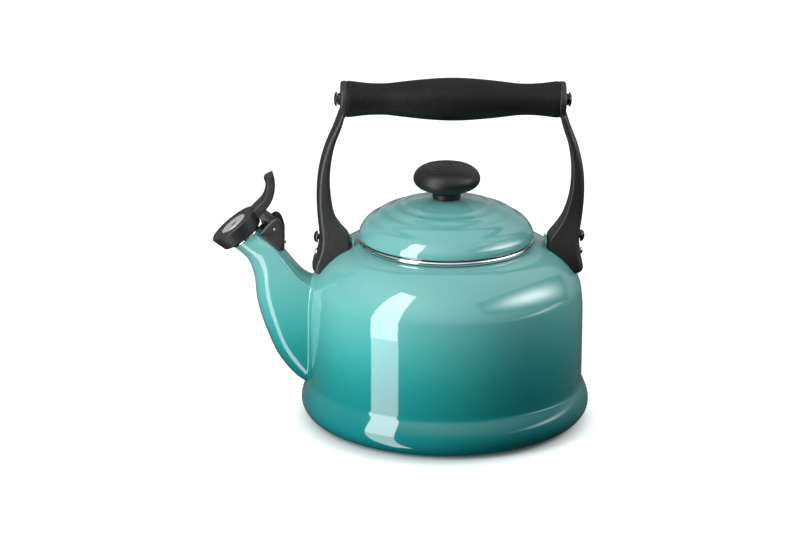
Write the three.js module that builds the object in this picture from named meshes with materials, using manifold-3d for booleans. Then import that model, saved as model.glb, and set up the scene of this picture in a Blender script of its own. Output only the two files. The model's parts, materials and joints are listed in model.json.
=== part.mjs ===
// Stovetop whistling kettle: an enamelled steel body with a fixed bail handle, a lift-off lid
// and a whistle cap that a thumb lever swings off the spout against a small spring.
// Millimetres, +Z up. The origin is on the body's axis, where the flat base meets the hob.
// The spout points towards -X, and the rear of the handle is towards +X.

import * as THREE from 'three';
import { mergeVertices } from 'three/addons/utils/BufferGeometryUtils.js';
import Module from 'manifold-3d';

const wasm = await Module();
wasm.setup();

// ---------------------------------------------------------------- driving dimensions

const GAP = 0.3;                 // clearance left between pieces that touch
const SHEET = 1.6;               // enamelled sheet steel of body, lid and spout

const FLAT_R = 83.7;             // flat of the base
const BULGE_R = 98;              // widest ring, just above the base
const BULGE_Z = 12.5;
const CREASE_Z = 26.8;           // sharp joint between bulge and wall
const WALL_R = 93.2;
const SHOULDER_R = 91.9;         // the wall leans in a little before the shoulder starts
const SHOULDER_Z = 91.7;
const MOUTH_R = 56.8;            // top opening
const MOUTH_Z = 122.5;

const RIM_OUTER_R = 59.4;        // stainless ring on the top opening
const RIM_INNER_R = 55.4;
const RIM_TOP_Z = 126.1;

const LID_R = 59.2;
const LID_Z = 127.5;
const LID_CROWN_Z = 153.2;
const LID_SEAT_R = 9.6;          // flat under the knob's neck
const SKIRT_R = 54.7;
const SKIRT_Z = 113;

const KNOB_R = 22.6;
const KNOB_WIDEST_Z = 166;
const KNOB_TOP_Z = 175.8;

const GRIP_Z = 222;
const GRIP_HALF = 71;            // half length of the grip between the two eyes
const EYE_R = 12.2;
const EYE_FACE_X = 75.4;         // outer face of each eye
const LEAN = THREE.MathUtils.degToRad(0.65);         // the arms lean rearwards
const TILT = THREE.MathUtils.degToRad(0.35);         // the whole handle dips to the rear
const HANDLE_PIVOT = new THREE.Vector3(0, 0, 104);
const HANDLE_SHIFT = 1.6;        // the handle sits a little behind the body's axis

const PIN = new THREE.Vector3(-115.9, 0, 134.3);     // whistle hinge, along Y
const CAP_TILT = THREE.MathUtils.degToRad(-38);      // the cap's axis, turned from +Z about Y
const CAP_FACE = new THREE.Vector3(-144.1, 0, 136.3);
const CAP_DEPTH = 10.8;
const CAP_R = 18;
const MOUTH_DROP = 12.4;         // the spout's mouth plane, below the cap's face
const MOUTH_SHIFT = 1;           // the mouth's centre, up the slope from the cap's axis
const SPOUT_MOUTH_R = 10.6;

// ---------------------------------------------------------------- materials

function material(color, roughness, metalness) {
  return new THREE.MeshStandardMaterial({ color, roughness, metalness });
}

const ENAMEL = material(0x53a79f, 0.12, 0);
const ENAMEL_LIGHT = material(0x78b9b3, 0.12, 0);
const PHENOLIC = material(0x29292a, 0.55, 0);
const STEEL = material(0xc9cccd, 0.2, 1);
const ALUMINIUM = material(0xafb1b4, 0.4, 1);
const BRASS = material(0xb59a55, 0.35, 1);

// ---------------------------------------------------------------- geometry helpers

/** Position-only copy with shared vertices, no collapsed triangles and faces that point out. */
function welded(geometry) {
  const bare = geometry.clone();
  bare.deleteAttribute('normal');
  bare.deleteAttribute('uv');
  const merged = mergeVertices(bare, 1e-4);
  const index = merged.index.array;
  const corner = [new THREE.Vector3(), new THREE.Vector3(), new THREE.Vector3()];
  const kept = [];
  let volume = 0;
  for (let i = 0; i < index.length; i += 3) {
    const [a, b, c] = [index[i], index[i + 1], index[i + 2]];
    if (a === b || b === c || c === a) continue;
    kept.push(a, b, c);
    corner[0].fromBufferAttribute(merged.attributes.position, a);
    corner[1].fromBufferAttribute(merged.attributes.position, b);
    corner[2].fromBufferAttribute(merged.attributes.position, c);
    volume += corner[0].dot(corner[1].cross(corner[2]));
  }
  merged.setIndex(volume < 0 ? kept.reverse() : kept);
  return merged;
}

/** A closed geometry as a solid that can be joined and cut. */
function solid(geometry) {
  const closed = welded(geometry);
  const vertProperties = new Float32Array(closed.attributes.position.array);
  const triVerts = new Uint32Array(closed.index.array);
  return new wasm.Manifold(new wasm.Mesh({ numProp: 3, vertProperties, triVerts }));
}

/** The solid's surface as a geometry. */
function surface(body) {
  const mesh = body.getMesh();
  const geometry = new THREE.BufferGeometry();
  geometry.setAttribute('position', new THREE.BufferAttribute(mesh.vertProperties, 3));
  geometry.setIndex(new THREE.BufferAttribute(mesh.triVerts, 1));
  return geometry;
}

/** Named mesh from a geometry or a solid. */
function piece(name, shape, finish) {
  const geometry = shape.isBufferGeometry ? welded(shape) : surface(shape);
  geometry.computeVertexNormals();
  const mesh = new THREE.Mesh(geometry, finish);
  mesh.name = name;
  return mesh;
}

/** Turned solid about +Z from [radius, height] points. */
function turned(profile, segments) {
  const points = profile.map(([r, z]) => new THREE.Vector2(r, z));
  return new THREE.LatheGeometry(points, segments).rotateX(Math.PI / 2);
}

/** Flat ring from [inner radius, outer radius] and [low, high] heights. */
function flatRing([inner, outer], [low, high], segments) {
  return turned([[inner, low], [outer, low], [outer, high], [inner, high], [inner, low]], segments);
}

/** Turned solid whose axis is +X: the profile's heights become X. */
function turnedAlongX(profile, segments) {
  return turned(profile, segments).rotateY(Math.PI / 2);
}

/** Turned solid whose axis is +Y: the profile's heights become Y. */
function turnedAlongY(profile, segments) {
  return turned(profile, segments).rotateX(-Math.PI / 2);
}

/** Elliptical arc of [x, y] points, angles in degrees. */
function arc(cx, cy, rx, ry, from, to, steps) {
  const points = [];
  for (let i = 0; i <= steps; i += 1) {
    const angle = THREE.MathUtils.degToRad(from + (to - from) * i / steps);
    points.push([cx + rx * Math.cos(angle), cy + ry * Math.sin(angle)]);
  }
  return points;
}

/** The profile moved by a distance towards its left side, seen along its direction. */
function offset(profile, distance) {
  return profile.map((point, i) => {
    const before = profile[Math.max(i - 1, 0)];
    const after = profile[Math.min(i + 1, profile.length - 1)];
    const dr = after[0] - before[0];
    const dz = after[1] - before[1];
    const length = Math.hypot(dr, dz);
    return [point[0] - distance * dz / length, point[1] + distance * dr / length];
  });
}

/** Plate from an outline in the XZ plane, between two Y values. */
function plate(shape, yLow, yHigh, curveSegments = 8) {
  const settings = { depth: yHigh - yLow, bevelEnabled: false, curveSegments };
  return new THREE.ExtrudeGeometry(shape, settings).rotateX(Math.PI / 2).translate(0, yHigh, 0);
}

/** Outline from straight runs of [x, z] points. */
function outline(points) {
  return new THREE.Shape(points.map(([x, z]) => new THREE.Vector2(x, z)));
}

/** Solid skinned over rings of points, with a flat fan on each end. */
function loft(rings) {
  const count = rings[0].length;
  const vertices = rings.flat();
  const index = [];
  for (let r = 0; r < rings.length - 1; r += 1) {
    for (let i = 0; i < count; i += 1) {
      const a = r * count + i;
      const b = r * count + (i + 1) % count;
      index.push(a, b, a + count, b, b + count, a + count);
    }
  }
  [0, rings.length - 1].forEach((r) => {
    const centre = new THREE.Vector3();
    rings[r].forEach((point) => centre.addScaledVector(point, 1 / count));
    const hub = vertices.push(centre) - 1;
    for (let i = 0; i < count; i += 1) {
      const a = r * count + i;
      const b = r * count + (i + 1) % count;
      index.push(...(r === 0 ? [b, a, hub] : [a, b, hub]));
    }
  });
  const geometry = new THREE.BufferGeometry().setFromPoints(vertices);
  geometry.setIndex(index);
  return geometry;
}

/** Rod of one radius along +X. */
function rodX(radius, from, to, segments = 12) {
  return turnedAlongX([[0, from], [radius, from], [radius, to], [0, to]], segments);
}

/** Ring along +X with a round bore. */
function ringX(bore, radius, from, to, segments = 16) {
  return turnedAlongX([[bore, from], [radius, from], [radius, to], [bore, to], [bore, from]], segments);
}

// ---------------------------------------------------------------- body and base

const BODY_SEGMENTS = 40;

/** Outer line of the bulge, from the edge of the flat up to the crease. */
function bulgeLine() {
  const lower = arc(FLAT_R, BULGE_Z, BULGE_R - FLAT_R, BULGE_Z, -90, 0, 4);
  const upper = new THREE.CubicBezierCurve(
    new THREE.Vector2(BULGE_R, BULGE_Z),
    new THREE.Vector2(BULGE_R, BULGE_Z + 5),
    new THREE.Vector2(WALL_R + 1.7, CREASE_Z - 3.6),
    new THREE.Vector2(WALL_R, CREASE_Z),
  );
  return [...lower, ...upper.getPoints(4).slice(1).map(({ x, y }) => [x, y])];
}

/** Outer line of wall and shoulder, from the crease to the top opening. */
function wallLine() {
  const steps = 7;
  const lean = WALL_R - SHOULDER_R;
  const points = [[WALL_R, CREASE_Z + GAP], [WALL_R, 76], [WALL_R - 0.3 * lean, 84.5]];
  for (let i = 0; i <= steps; i += 1) {
    const angle = (Math.PI / 2) * i / steps;
    const r = MOUTH_R + (SHOULDER_R - MOUTH_R) * Math.cos(angle);
    const z = SHOULDER_Z + (MOUTH_Z - SHOULDER_Z) * Math.sin(angle) ** 1.45;
    points.push([r, z]);
  }
  return points;
}

/** Everything inside the body's outer surface, grown by a distance: it trims what sits on the body. */
function bodyEnvelope(grow) {
  const line = offset([[0, 0], ...bulgeLine(), ...wallLine(), [0, MOUTH_Z]], -grow);
  line[0][0] = 0;
  line[line.length - 1][0] = 0;
  return turned(line, BODY_SEGMENTS);
}

function basePan() {
  const outer = [[0, 0], ...bulgeLine()];
  const inner = offset(outer, SHEET + 0.2).reverse();
  inner[inner.length - 1][0] = 0;
  return turned([...outer, ...inner], BODY_SEGMENTS);
}

/** Holes in the wall behind the spout, which hold back scale when the kettle pours. */
function strainerHoles() {
  const holes = [];
  for (let row = 0; row < 5; row += 1) {
    const columns = row % 2 ? [-3.6, 3.6] : [-7.2, 0, 7.2];
    columns.forEach((y) => {
      holes.push(rodX(2.4, -WALL_R - 4, -WALL_R + 8, 8).translate(0, y, 42 + row * 10));
    });
  }
  return holes;
}

function bodyShell() {
  const outer = wallLine();
  const inner = offset(outer, SHEET).reverse();
  const lapR = WALL_R - 3.2;
  const lap = [
    [lapR - 1.2, CREASE_Z + 4], [lapR - 1.2, CREASE_Z - 6],
    [lapR, CREASE_Z - 6], [lapR, CREASE_Z + GAP],
  ];
  inner.pop();
  let shell = solid(turned([...outer, ...inner, ...lap, outer[0]], BODY_SEGMENTS));
  strainerHoles().forEach((hole) => { shell = shell.subtract(solid(hole)); });
  return shell;
}

function openingRim() {
  const bead = arc(57.4, 124.2, RIM_OUTER_R - 57.4, RIM_TOP_Z - 124.2, 0, 90, 3);
  const profile = [
    [MOUTH_R - 0.6, MOUTH_Z + 0.45], [RIM_OUTER_R, MOUTH_Z + 0.45],
    ...bead,
    [RIM_INNER_R + 0.8, RIM_TOP_Z], [RIM_INNER_R, RIM_TOP_Z - 0.9],
    [RIM_INNER_R, MOUTH_Z - 3.2], [MOUTH_R - 0.6, MOUTH_Z - 3.2], [MOUTH_R - 0.6, MOUTH_Z + 0.45],
  ];
  return turned(profile, BODY_SEGMENTS);
}

// ---------------------------------------------------------------- spout

// Eight stations up the spout: its lower edge, its upper edge (both [x, z]), its half width
// and how far the crown stands above the shoulder crease.
const SPOUT_STATIONS = [
  { low: [-84, 20.6], high: [-82, 97.8], half: 13, crown: 6.2 },
  { low: [-97.3, 25], high: [-90.5, 99.8], half: 13, crown: 6.2 },
  { low: [-112.3, 41], high: [-96.5, 103.2], half: 12.8, crown: 5.6 },
  { low: [-122.3, 62.9], high: [-102, 108.8], half: 12.4, crown: 5 },
  { low: [-127.9, 82], high: [-106.6, 114.6], half: 11.8, crown: 4.6 },
  { low: [-130, 100], high: [-113, 122], half: 11.2, crown: 4.2 },
  { low: [-134.4, 111.6], high: [-120.2, 128.4], half: 10.9, crown: 5 },
  { low: mouthEdge(-1), high: mouthEdge(1), half: SPOUT_MOUTH_R, crown: SPOUT_MOUTH_R },
];

/** Lowest (side -1) or highest (side 1) point of the round mouth, as [x, z]. */
function mouthEdge(side) {
  const edge = new THREE.Vector3(MOUTH_SHIFT + side * SPOUT_MOUTH_R, 0, -MOUTH_DROP);
  edge.applyAxisAngle(new THREE.Vector3(0, 1, 0), CAP_TILT).add(CAP_FACE);
  return [edge.x, edge.z];
}

function spoutCurve(pick) {
  return new THREE.CatmullRomCurve3(SPOUT_STATIONS.map(pick));
}

const SPOUT_RINGS = 12;

const SPOUT_LOW = spoutCurve(({ low }) => new THREE.Vector3(low[0], 0, low[1]));
const SPOUT_HIGH = spoutCurve(({ high }) => new THREE.Vector3(high[0], 0, high[1]));
const SPOUT_SIZE = spoutCurve(({ half, crown }) => new THREE.Vector3(half, crown, 0));

/** One ring of the spout: a round underside, flat flanks and a low crowned top. */
function spoutRing(t, grow, shift = 0) {
  const low = SPOUT_LOW.getPoint(t);
  const high = SPOUT_HIGH.getPoint(t);
  const size = SPOUT_SIZE.getPoint(t);
  const up = high.clone().sub(low).normalize();
  const along = new THREE.Vector3(-up.z, 0, up.x).multiplyScalar(shift);
  const height = high.distanceTo(low) + 2 * grow;
  const half = size.x + grow;
  const crown = size.y + grow;
  const base = low.addScaledVector(up, -grow).add(along);
  const section = [
    ...arc(0, half, half, half, -90, 0, 4),
    ...arc(0, height - crown, half, crown, 0, 90, 4),
    ...arc(0, height - crown, half, crown, 90, 180, 4).slice(1),
    ...arc(0, half, half, half, 180, 270, 4).slice(0, -1),
  ];
  return section.map(([y, rise]) => base.clone().addScaledVector(up, rise).setY(y));
}

/** The spout's outer form, grown by a distance. */
function spoutForm(grow, stations) {
  const rings = [];
  for (let i = 0; i <= stations; i += 1) rings.push(spoutRing(i / stations, grow));
  return rings;
}

function spout() {
  const outer = solid(loft(spoutForm(0, SPOUT_RINGS)));
  const bore = spoutForm(-SHEET, SPOUT_RINGS);
  bore.unshift(spoutRing(0, -SHEET, -4));
  bore.push(spoutRing(1, -SHEET, 4));
  const pipe = outer.subtract(solid(loft(bore)));
  const beadSeat = solid(tiltedToMouth(spoutBeadProfile(GAP, 24)));
  return pipe.subtract(solid(bodyEnvelope(GAP))).subtract(beadSeat);
}

/** A shape made about +Z with the cap's face at zero, moved to the tilted cap's place. */
function tiltedToMouth(geometry) {
  return geometry.rotateY(CAP_TILT).translate(CAP_FACE.x, 0, CAP_FACE.z);
}

/** Stainless bead rolled over the lip of the spout. */
function spoutBeadProfile(grow, segments) {
  const centre = -MOUTH_DROP;
  const ring = arc(SPOUT_MOUTH_R - 0.2, centre, 1 + grow, 1 + grow, 0, 360, 8);
  ring[ring.length - 1] = ring[0];
  return turned(ring, segments).translate(MOUTH_SHIFT, 0, 0);
}

// ---------------------------------------------------------------- lid and knob

/** Height of the lid's outer surface: an elliptic dome with three soft pressed steps. */
function lidHeight(r) {
  const dome = LID_Z + 26.2 * Math.sqrt(Math.max(0, 1 - (r / LID_R) ** 1.6));
  return Math.min(dome, LID_CROWN_Z);
}

function lidLine() {
  const radii = [2.6, LID_SEAT_R + 1, 20, 30, 39, 46, 52, 56.5, LID_R];
  return radii.map((r) => [r, lidHeight(r)]);
}

function lidShell() {
  const outer = lidLine();
  const inner = offset(outer, -SHEET).slice(0, -1);
  inner[0][0] = 2.6;
  const edge = [LID_R - SHEET, LID_Z];
  return turned([...outer, edge, ...inner.reverse(), outer[0]], BODY_SEGMENTS);
}

function lidSkirt() {
  const profile = [
    [SKIRT_R - 0.8, SKIRT_Z], [SKIRT_R, SKIRT_Z], [SKIRT_R, RIM_TOP_Z + GAP],
    [57, RIM_TOP_Z + GAP], [57, LID_Z - GAP], [SKIRT_R - 0.8, LID_Z - GAP], [SKIRT_R - 0.8, SKIRT_Z],
  ];
  return turned(profile, BODY_SEGMENTS);
}

function knob() {
  const bore = 3.9;
  const foot = LID_CROWN_Z + GAP;
  const profile = [
    [0, foot + 13], [bore, foot + 13], [bore, foot], [9.6, foot], [9.6, foot + 4],
    ...arc(13, KNOB_WIDEST_Z, KNOB_R - 13, 8.2, -75, 0, 3),
    ...arc(10, KNOB_WIDEST_Z, KNOB_R - 10, KNOB_TOP_Z - KNOB_WIDEST_Z, 0, 90, 4).slice(1),
    [0, KNOB_TOP_Z],
  ];
  return turned(profile, 28);
}

function knobInsert() {
  const base = LID_CROWN_Z + GAP + 0.6;
  return flatRing([2.2, 3.6], [base, base + 11], 16);
}

function knobScrew() {
  const head = LID_CROWN_Z - SHEET - 2.2;
  const tip = head + 14;
  const profile = [
    [0, head - 2.4], [2.6, head - 2.4], [3.6, head - 1.2], [3.6, head],
    [1.9, head], [1.9, tip], [0, tip],
  ];
  return turned(profile, 16);
}

function knobWasher() {
  const top = LID_CROWN_Z - SHEET - GAP - 0.2;
  return flatRing([2.3, 6.5], [top - 1.2, top], 20);
}

// ---------------------------------------------------------------- handle

// Stations up one arm: height, outer face and inner face, as distances from the handle's middle.
const ARM_STATIONS = [
  [110, 91.6, 65.8], [118, 88.8, 66], [126.5, 87.8, 66.8], [133, 88.3, 71.2], [141, 89.3, 76],
  [156, 90.2, 80.4], [173, 89.2, 81.2], [190, 85.2, 78.7], [204, 79.6, 74], [214, 76, 71.6],
];

const ARM_CURVE = new THREE.CatmullRomCurve3(
  ARM_STATIONS.map(([z, outer, inner]) => new THREE.Vector3(outer, inner, z)),
);

/** Half width of the arm across the kettle: narrow shank, wide foot, slight flare at the eye. */
function armHalfWidth(z) {
  const foot = THREE.MathUtils.smoothstep(z, 110, 150);
  const eye = THREE.MathUtils.smoothstep(z, 196, 214);
  return 7.4 + 5.8 * (1 - foot) + 2.2 * eye;
}

/** Ring at one height: well rounded towards the outer face, less so towards the inner one. */
function armRing(z, outer, inner, half) {
  const outX = 3.4;
  const outY = 0.7 * half;
  const inX = 1.6;
  const inY = 0.4 * half;
  const quarter = [
    ...arc(outer - outX, half - outY, outX, outY, 0, 90, 3),
    ...arc(inner + inX, half - inY, inX, inY, 90, 180, 3),
  ];
  const mirrored = quarter.map(([x, y]) => [x, -y]).reverse();
  return [...quarter.slice(1, -1), ...mirrored].map(([x, y]) => new THREE.Vector3(x, y, z));
}

/** Rings up one arm, for a toe height, a shorter toe and a slimmer instep, all in millimetres. */
function armForm({ toeZ, shorter, slimmer }) {
  const rings = [
    armRing(toeZ, 89.4 - shorter, 65.8, 11.6),
    armRing(toeZ + 1, 91.4 - shorter, 65.8, 12.8),
    armRing(toeZ + 3, 92.4 - shorter, 65.8, 13.2),
  ];
  const steps = 12;
  for (let i = 0; i <= steps; i += 1) {
    const { x: outer, y: inner, z } = ARM_CURVE.getPoint(i / steps);
    const toe = 1 - THREE.MathUtils.smoothstep(z, 108, 120);
    const instep = Math.exp(-(((z - 137) / 13) ** 2));
    rings.push(armRing(z, outer - shorter * toe, inner + slimmer * instep, armHalfWidth(z)));
  }
  return rings;
}

/** Hollow inside the foot, open below and towards the lid, where the body's lug stands. */
function shoeHollow() {
  const rings = [[96, 86, 9.6], [104, 86.2, 9.6], [118, 85.6, 9.4], [131, 84.8, 8], [134, 83.4, 6.6]];
  return loft(rings.map(([z, outer, half]) => armRing(z, outer, 58, half)));
}

/** Eye at the arm's upper end, seated against the grip. */
function eye() {
  const rim = arc(EYE_R - 1.6, EYE_FACE_X - 1.6, 1.6, 1.6, 0, 90, 2);
  return turnedAlongX([[0, GRIP_HALF + GAP], [EYE_R, GRIP_HALF + GAP], ...rim, [0, EYE_FACE_X]], 24);
}

const FOOT_SCREW_Z = 126.4;
const FOOT_RIVET_Z = 115.8;

/** The two clearance holes for one foot's fasteners, the lower one with a sunk seat. */
function footHoles(level) {
  const screw = rodX(2.4, 76, 96).translate(0, 0, FOOT_SCREW_Z + level);
  const rivet = rodX(1.8, 76, 96).translate(0, 0, FOOT_RIVET_Z + level);
  const seat = rodX(3, 89, 96).translate(0, 0, FOOT_RIVET_Z + level);
  return solid(screw).add(solid(rivet)).add(solid(seat));
}

/** One arm in the handle's own frame, on the +X side, with its holes raised to stay level. */
function arm(foot, level) {
  let body = solid(loft(armForm(foot)));
  body = body.add(solid(eye().translate(0, 0, GRIP_Z)));
  body = body.subtract(solid(shoeHollow()));
  body = body.subtract(footHoles(level));
  return body.subtract(solid(rodX(2.8, GRIP_HALF - 4, EYE_FACE_X + 9).translate(0, 0, GRIP_Z)));
}

function grip() {
  const bore = 4.9;
  const depth = 20;
  const half = [
    [0, GRIP_HALF - depth], [bore, GRIP_HALF - depth], [bore, GRIP_HALF], [11.3, GRIP_HALF],
    [12.1, GRIP_HALF - 1], [11.7, GRIP_HALF - 6], [11, GRIP_HALF - 12], [10.6, GRIP_HALF - 19],
    [11.6, GRIP_HALF - 35], [13.5, GRIP_HALF - 54],
  ];
  const other = half.map(([r, x]) => [r, -x]).reverse();
  return turnedAlongX([...half, [14.4, 0], ...other], 24);
}

function gripInsert() {
  return ringX(2.8, 4.6, GRIP_HALF - 16, GRIP_HALF - 1);
}

function gripScrew() {
  const seat = EYE_FACE_X + 2.2;
  const dome = arc(0, seat, 4.9, 2, 0, 90, 4);
  const profile = [[0, GRIP_HALF - 14], [2.4, GRIP_HALF - 14], [2.4, seat], ...dome];
  return turnedAlongX(profile, 20);
}

function gripWasher() {
  return ringX(2.8, 4, EYE_FACE_X + GAP, EYE_FACE_X + 1.9);
}

function footScrew() {
  const seat = 88.7;
  const dome = arc(0, seat, 4, 3, 0, 90, 4);
  return turnedAlongX([[0, 76.2], [1.9, 76.2], [1.9, seat], ...dome], 16);
}

function footRivet() {
  const dome = arc(0, 89.4, 2.3, 1.5, 0, 90, 3);
  return turnedAlongX([[0, 80], [1.4, 80.6], [1.4, 89.4], ...dome], 12);
}

function footNut() {
  return ringX(2.6, 4.3, 77.3, 80.4, 6);
}

/** Bent steel lug welded on the shoulder: an upright inside the shoe, a web and a wider end plate. */
function lug(toBody, level) {
  const bent = outline([
    [83.2, 96], [83.2, 130.2], [80.8, 130.8], [80.8, 114.4], [76, 118.9],
    [68, 123.5], [65.2, 124.6], [65.2, 96],
  ]);
  const end = roundedTop(8.4, 128.4, 3);
  const endPlate = turnedToX(end, 63.8, 65.5);
  let body = solid(plate(bent, -5, 5)).add(solid(endPlate));
  body = body.subtract(footHoles(level));
  return body.subtract(solid(toBody));
}

/** Upright outline across the kettle, with rounded upper corners. */
function roundedTop(half, top, radius) {
  const shape = new THREE.Shape();
  shape.moveTo(-half, 96);
  shape.lineTo(-half, top - radius);
  shape.quadraticCurveTo(-half, top, radius - half, top);
  shape.lineTo(half - radius, top);
  shape.quadraticCurveTo(half, top, half, top - radius);
  shape.lineTo(half, 96);
  return shape;
}

/** Plate from an outline in the YZ plane, between two X values. */
function turnedToX(shape, xLow, xHigh) {
  const settings = { depth: xHigh - xLow, bevelEnabled: false, curveSegments: 3 };
  const flat = new THREE.ExtrudeGeometry(shape, settings);
  return flat.rotateX(Math.PI / 2).rotateZ(Math.PI / 2).translate(xLow, 0, 0);
}

/** The handle's own frame: it stands a little rearwards of upright, with its grip almost level. */
function handleFrame() {
  const lean = new THREE.Matrix4().makeShear(0, 0, 0, 0, Math.tan(LEAN), 0);
  const tilt = new THREE.Matrix4().makeRotationY(TILT);
  const shift = new THREE.Matrix4().makeTranslation(HANDLE_SHIFT, 0, HANDLE_PIVOT.z);
  const back = new THREE.Matrix4().makeTranslation(HANDLE_PIVOT.clone().negate());
  return shift.multiply(lean).multiply(tilt).multiply(back);
}

/** All pieces on one end of the handle, in the handle's frame. The fasteners stay level. */
function handleEnd(end, turn, foot) {
  const undo = handleFrame().invert();
  const envelope = bodyEnvelope(GAP + 0.1).applyMatrix4(undo).rotateZ(-turn);
  const level = Math.cos(turn) * 90 * Math.sin(TILT);
  const screwZ = FOOT_SCREW_Z + level;
  const rivetZ = FOOT_RIVET_Z + level;
  const side = new THREE.Group();
  side.rotation.z = turn;
  side.add(
    piece(`arm_${end}`, arm(foot, level).subtract(solid(envelope)), PHENOLIC),
    piece(`lug_${end}`, lug(envelope, level), ENAMEL),
    piece(`grip_insert_${end}`, gripInsert().translate(0, 0, GRIP_Z), BRASS),
    piece(`grip_screw_${end}`, gripScrew().translate(0, 0, GRIP_Z), PHENOLIC),
    piece(`grip_washer_${end}`, gripWasher().translate(0, 0, GRIP_Z), PHENOLIC),
    piece(`foot_screw_${end}`, footScrew().translate(0, 0, screwZ), PHENOLIC),
    piece(`foot_nut_${end}`, footNut().translate(0, 0, screwZ), STEEL),
    piece(`foot_rivet_${end}`, footRivet().translate(0, 0, rivetZ), STEEL),
  );
  return side;
}

function handle() {
  const group = new THREE.Group();
  group.add(handleEnd('rear', 0, { toeZ: 103, shorter: 1.2, slimmer: 0 }));
  group.add(handleEnd('front', Math.PI, { toeZ: 102.3, shorter: 0, slimmer: 2 }));
  group.add(piece('grip', grip().translate(0, 0, GRIP_Z), PHENOLIC));
  group.matrix.copy(handleFrame());
  group.matrixAutoUpdate = false;
  return group;
}

// ---------------------------------------------------------------- whistle

const HUB_LOW = -5.4;            // the hub's two sides, across the spout
const HUB_HIGH = 2;
const EAR_INNER = 6.8;           // the two ears of the bracket, across the spout
const EAR_OUTER = 9.2;

/** Black moulded disc with a stepped bore for the two whistle plates. */
function capDisc() {
  const profile = [
    [8.4, -CAP_DEPTH + 1.6], [8.4, -1.8], [10.1, -1.8], [10.1, 0], [CAP_R - 1.3, 0],
    ...arc(CAP_R - 1.3, -1.3, 1.3, 1.3, 90, 0, 2).slice(1),
    [15.2, -CAP_DEPTH + 0.6], [14.6, -CAP_DEPTH],
    [10.1, -CAP_DEPTH], [10.1, -CAP_DEPTH + 1.6], [8.4, -CAP_DEPTH + 1.6],
  ];
  return tiltedToMouth(turned(profile, 28));
}

/** Curled thumb lever that rises from the cap's upper edge. */
function lever() {
  const shape = new THREE.Shape();
  shape.moveTo(-134, 143);
  shape.lineTo(-133, 145.6);
  shape.bezierCurveTo(-124.9, 151.2, -120.1, 157.6, -122, 165.2);
  shape.lineTo(-123.2, 168.4);
  shape.lineTo(-118.4, 171.6);
  shape.bezierCurveTo(-113.6, 165, -114.2, 155.6, -119, 150.2);
  shape.bezierCurveTo(-121.6, 146.6, -125, 143.4, -128.4, 140.2);
  return plate(shape, -6, 6, 9);
}

/** Tongue from the lever's root down to the hinge hub. */
function tongue() {
  const shape = new THREE.Shape();
  shape.moveTo(-126.4, 143.2);
  shape.lineTo(-123.4, 146.2);
  shape.lineTo(-117.2, 141.6);
  shape.lineTo(-113.2, 136);
  shape.absarc(PIN.x, PIN.z, 3.2, 0.5, -2.6, true);
  shape.lineTo(-119.8, 138.2);
  return plate(shape, HUB_LOW, HUB_HIGH, 5);
}

/** Small stop under the tongue, which meets the spout's lip when the cap is shut. */
function stopNub() {
  return turnedAlongY([[0, -3], [1.5, -3], [1.5, 3], [0, 3]], 12).translate(-122.6, 0, 138.6);
}

function whistleCap() {
  const bore = turnedAlongY([[0, -11], [1.4, -11], [1.4, 11], [0, 11]], 14).translate(PIN.x, 0, PIN.z);
  const body = solid(capDisc()).add(solid(lever())).add(solid(tongue())).add(solid(stopNub()));
  const keepOut = solid(spoutKeepOut());
  return body.subtract(keepOut).subtract(solid(bore));
}

/** The whistle's bore, extended through the cap, so that the lever's root stays out of it. */
function spoutKeepOut() {
  return tiltedToMouth(turned([[0, -CAP_DEPTH + 0.2], [8.3, -CAP_DEPTH + 0.2], [8.3, 4], [0, 4]], 28));
}

/** Thin plate with a centre hole: one of the two that make the whistle's sound. */
function whistlePlate(top) {
  return tiltedToMouth(flatRing([2, 9.8], [top - 0.9, top], 28));
}

function whistlePin() {
  return turnedAlongY([[0, -8.8], [1.1, -8.8], [1.1, 8.8], [0, 8.8]], 12).translate(PIN.x, 0, PIN.z);
}

/** Helix of the torsion spring beside the hub. */
class SpringCurve extends THREE.Curve {
  getPoint(t, target = new THREE.Vector3()) {
    const angle = t * 2.75 * Math.PI * 2;
    const y = HUB_HIGH + 0.9 + t * 3;
    return target.set(PIN.x + 2.5 * Math.cos(angle), y, PIN.z + 2.5 * Math.sin(angle));
  }
}

function whistleSpring() {
  const wire = new THREE.Shape().absarc(0, 0, 0.35, 0, Math.PI * 2);
  return new THREE.ExtrudeGeometry(wire, {
    steps: 40, curveSegments: 3, bevelEnabled: false, extrudePath: new SpringCurve(),
  });
}

/** One leaf-shaped ear of the hinge bracket. */
function ear(yLow, yHigh) {
  const shape = new THREE.Shape();
  shape.moveTo(-126.4, 129.2);
  shape.lineTo(-118, 138.6);
  shape.bezierCurveTo(-114.6, 142.8, -110.4, 139.8, -109.3, 134.6);
  shape.bezierCurveTo(-108.2, 129, -109.2, 121.4, -112.2, 117);
  shape.lineTo(-116, 118.6);
  return plate(shape, yLow, yHigh);
}

/** Bracket on the spout: two ears and the web that ties them behind the hub. */
function whistleHousing() {
  const web = outline([[-114.4, 125.4], [-112.4, 127.4], [-109.6, 126.4], [-108.6, 121], [-111, 119]]);
  const body = solid(ear(-EAR_OUTER, -EAR_INNER)).add(solid(ear(EAR_INNER, EAR_OUTER)));
  const tied = body.add(solid(plate(web, -EAR_INNER - 0.5, EAR_INNER + 0.5)));
  const bore = turnedAlongY([[0, -11], [1.4, -11], [1.4, 11], [0, 11]], 14).translate(PIN.x, 0, PIN.z);
  return tied.subtract(solid(bore)).subtract(solid(whistleLugForm(GAP))).subtract(solid(spoutSkin()))
    .subtract(solid(housingScrewHole()));
}

function spoutSkin() {
  return loft(spoutForm(GAP, SPOUT_RINGS));
}

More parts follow.
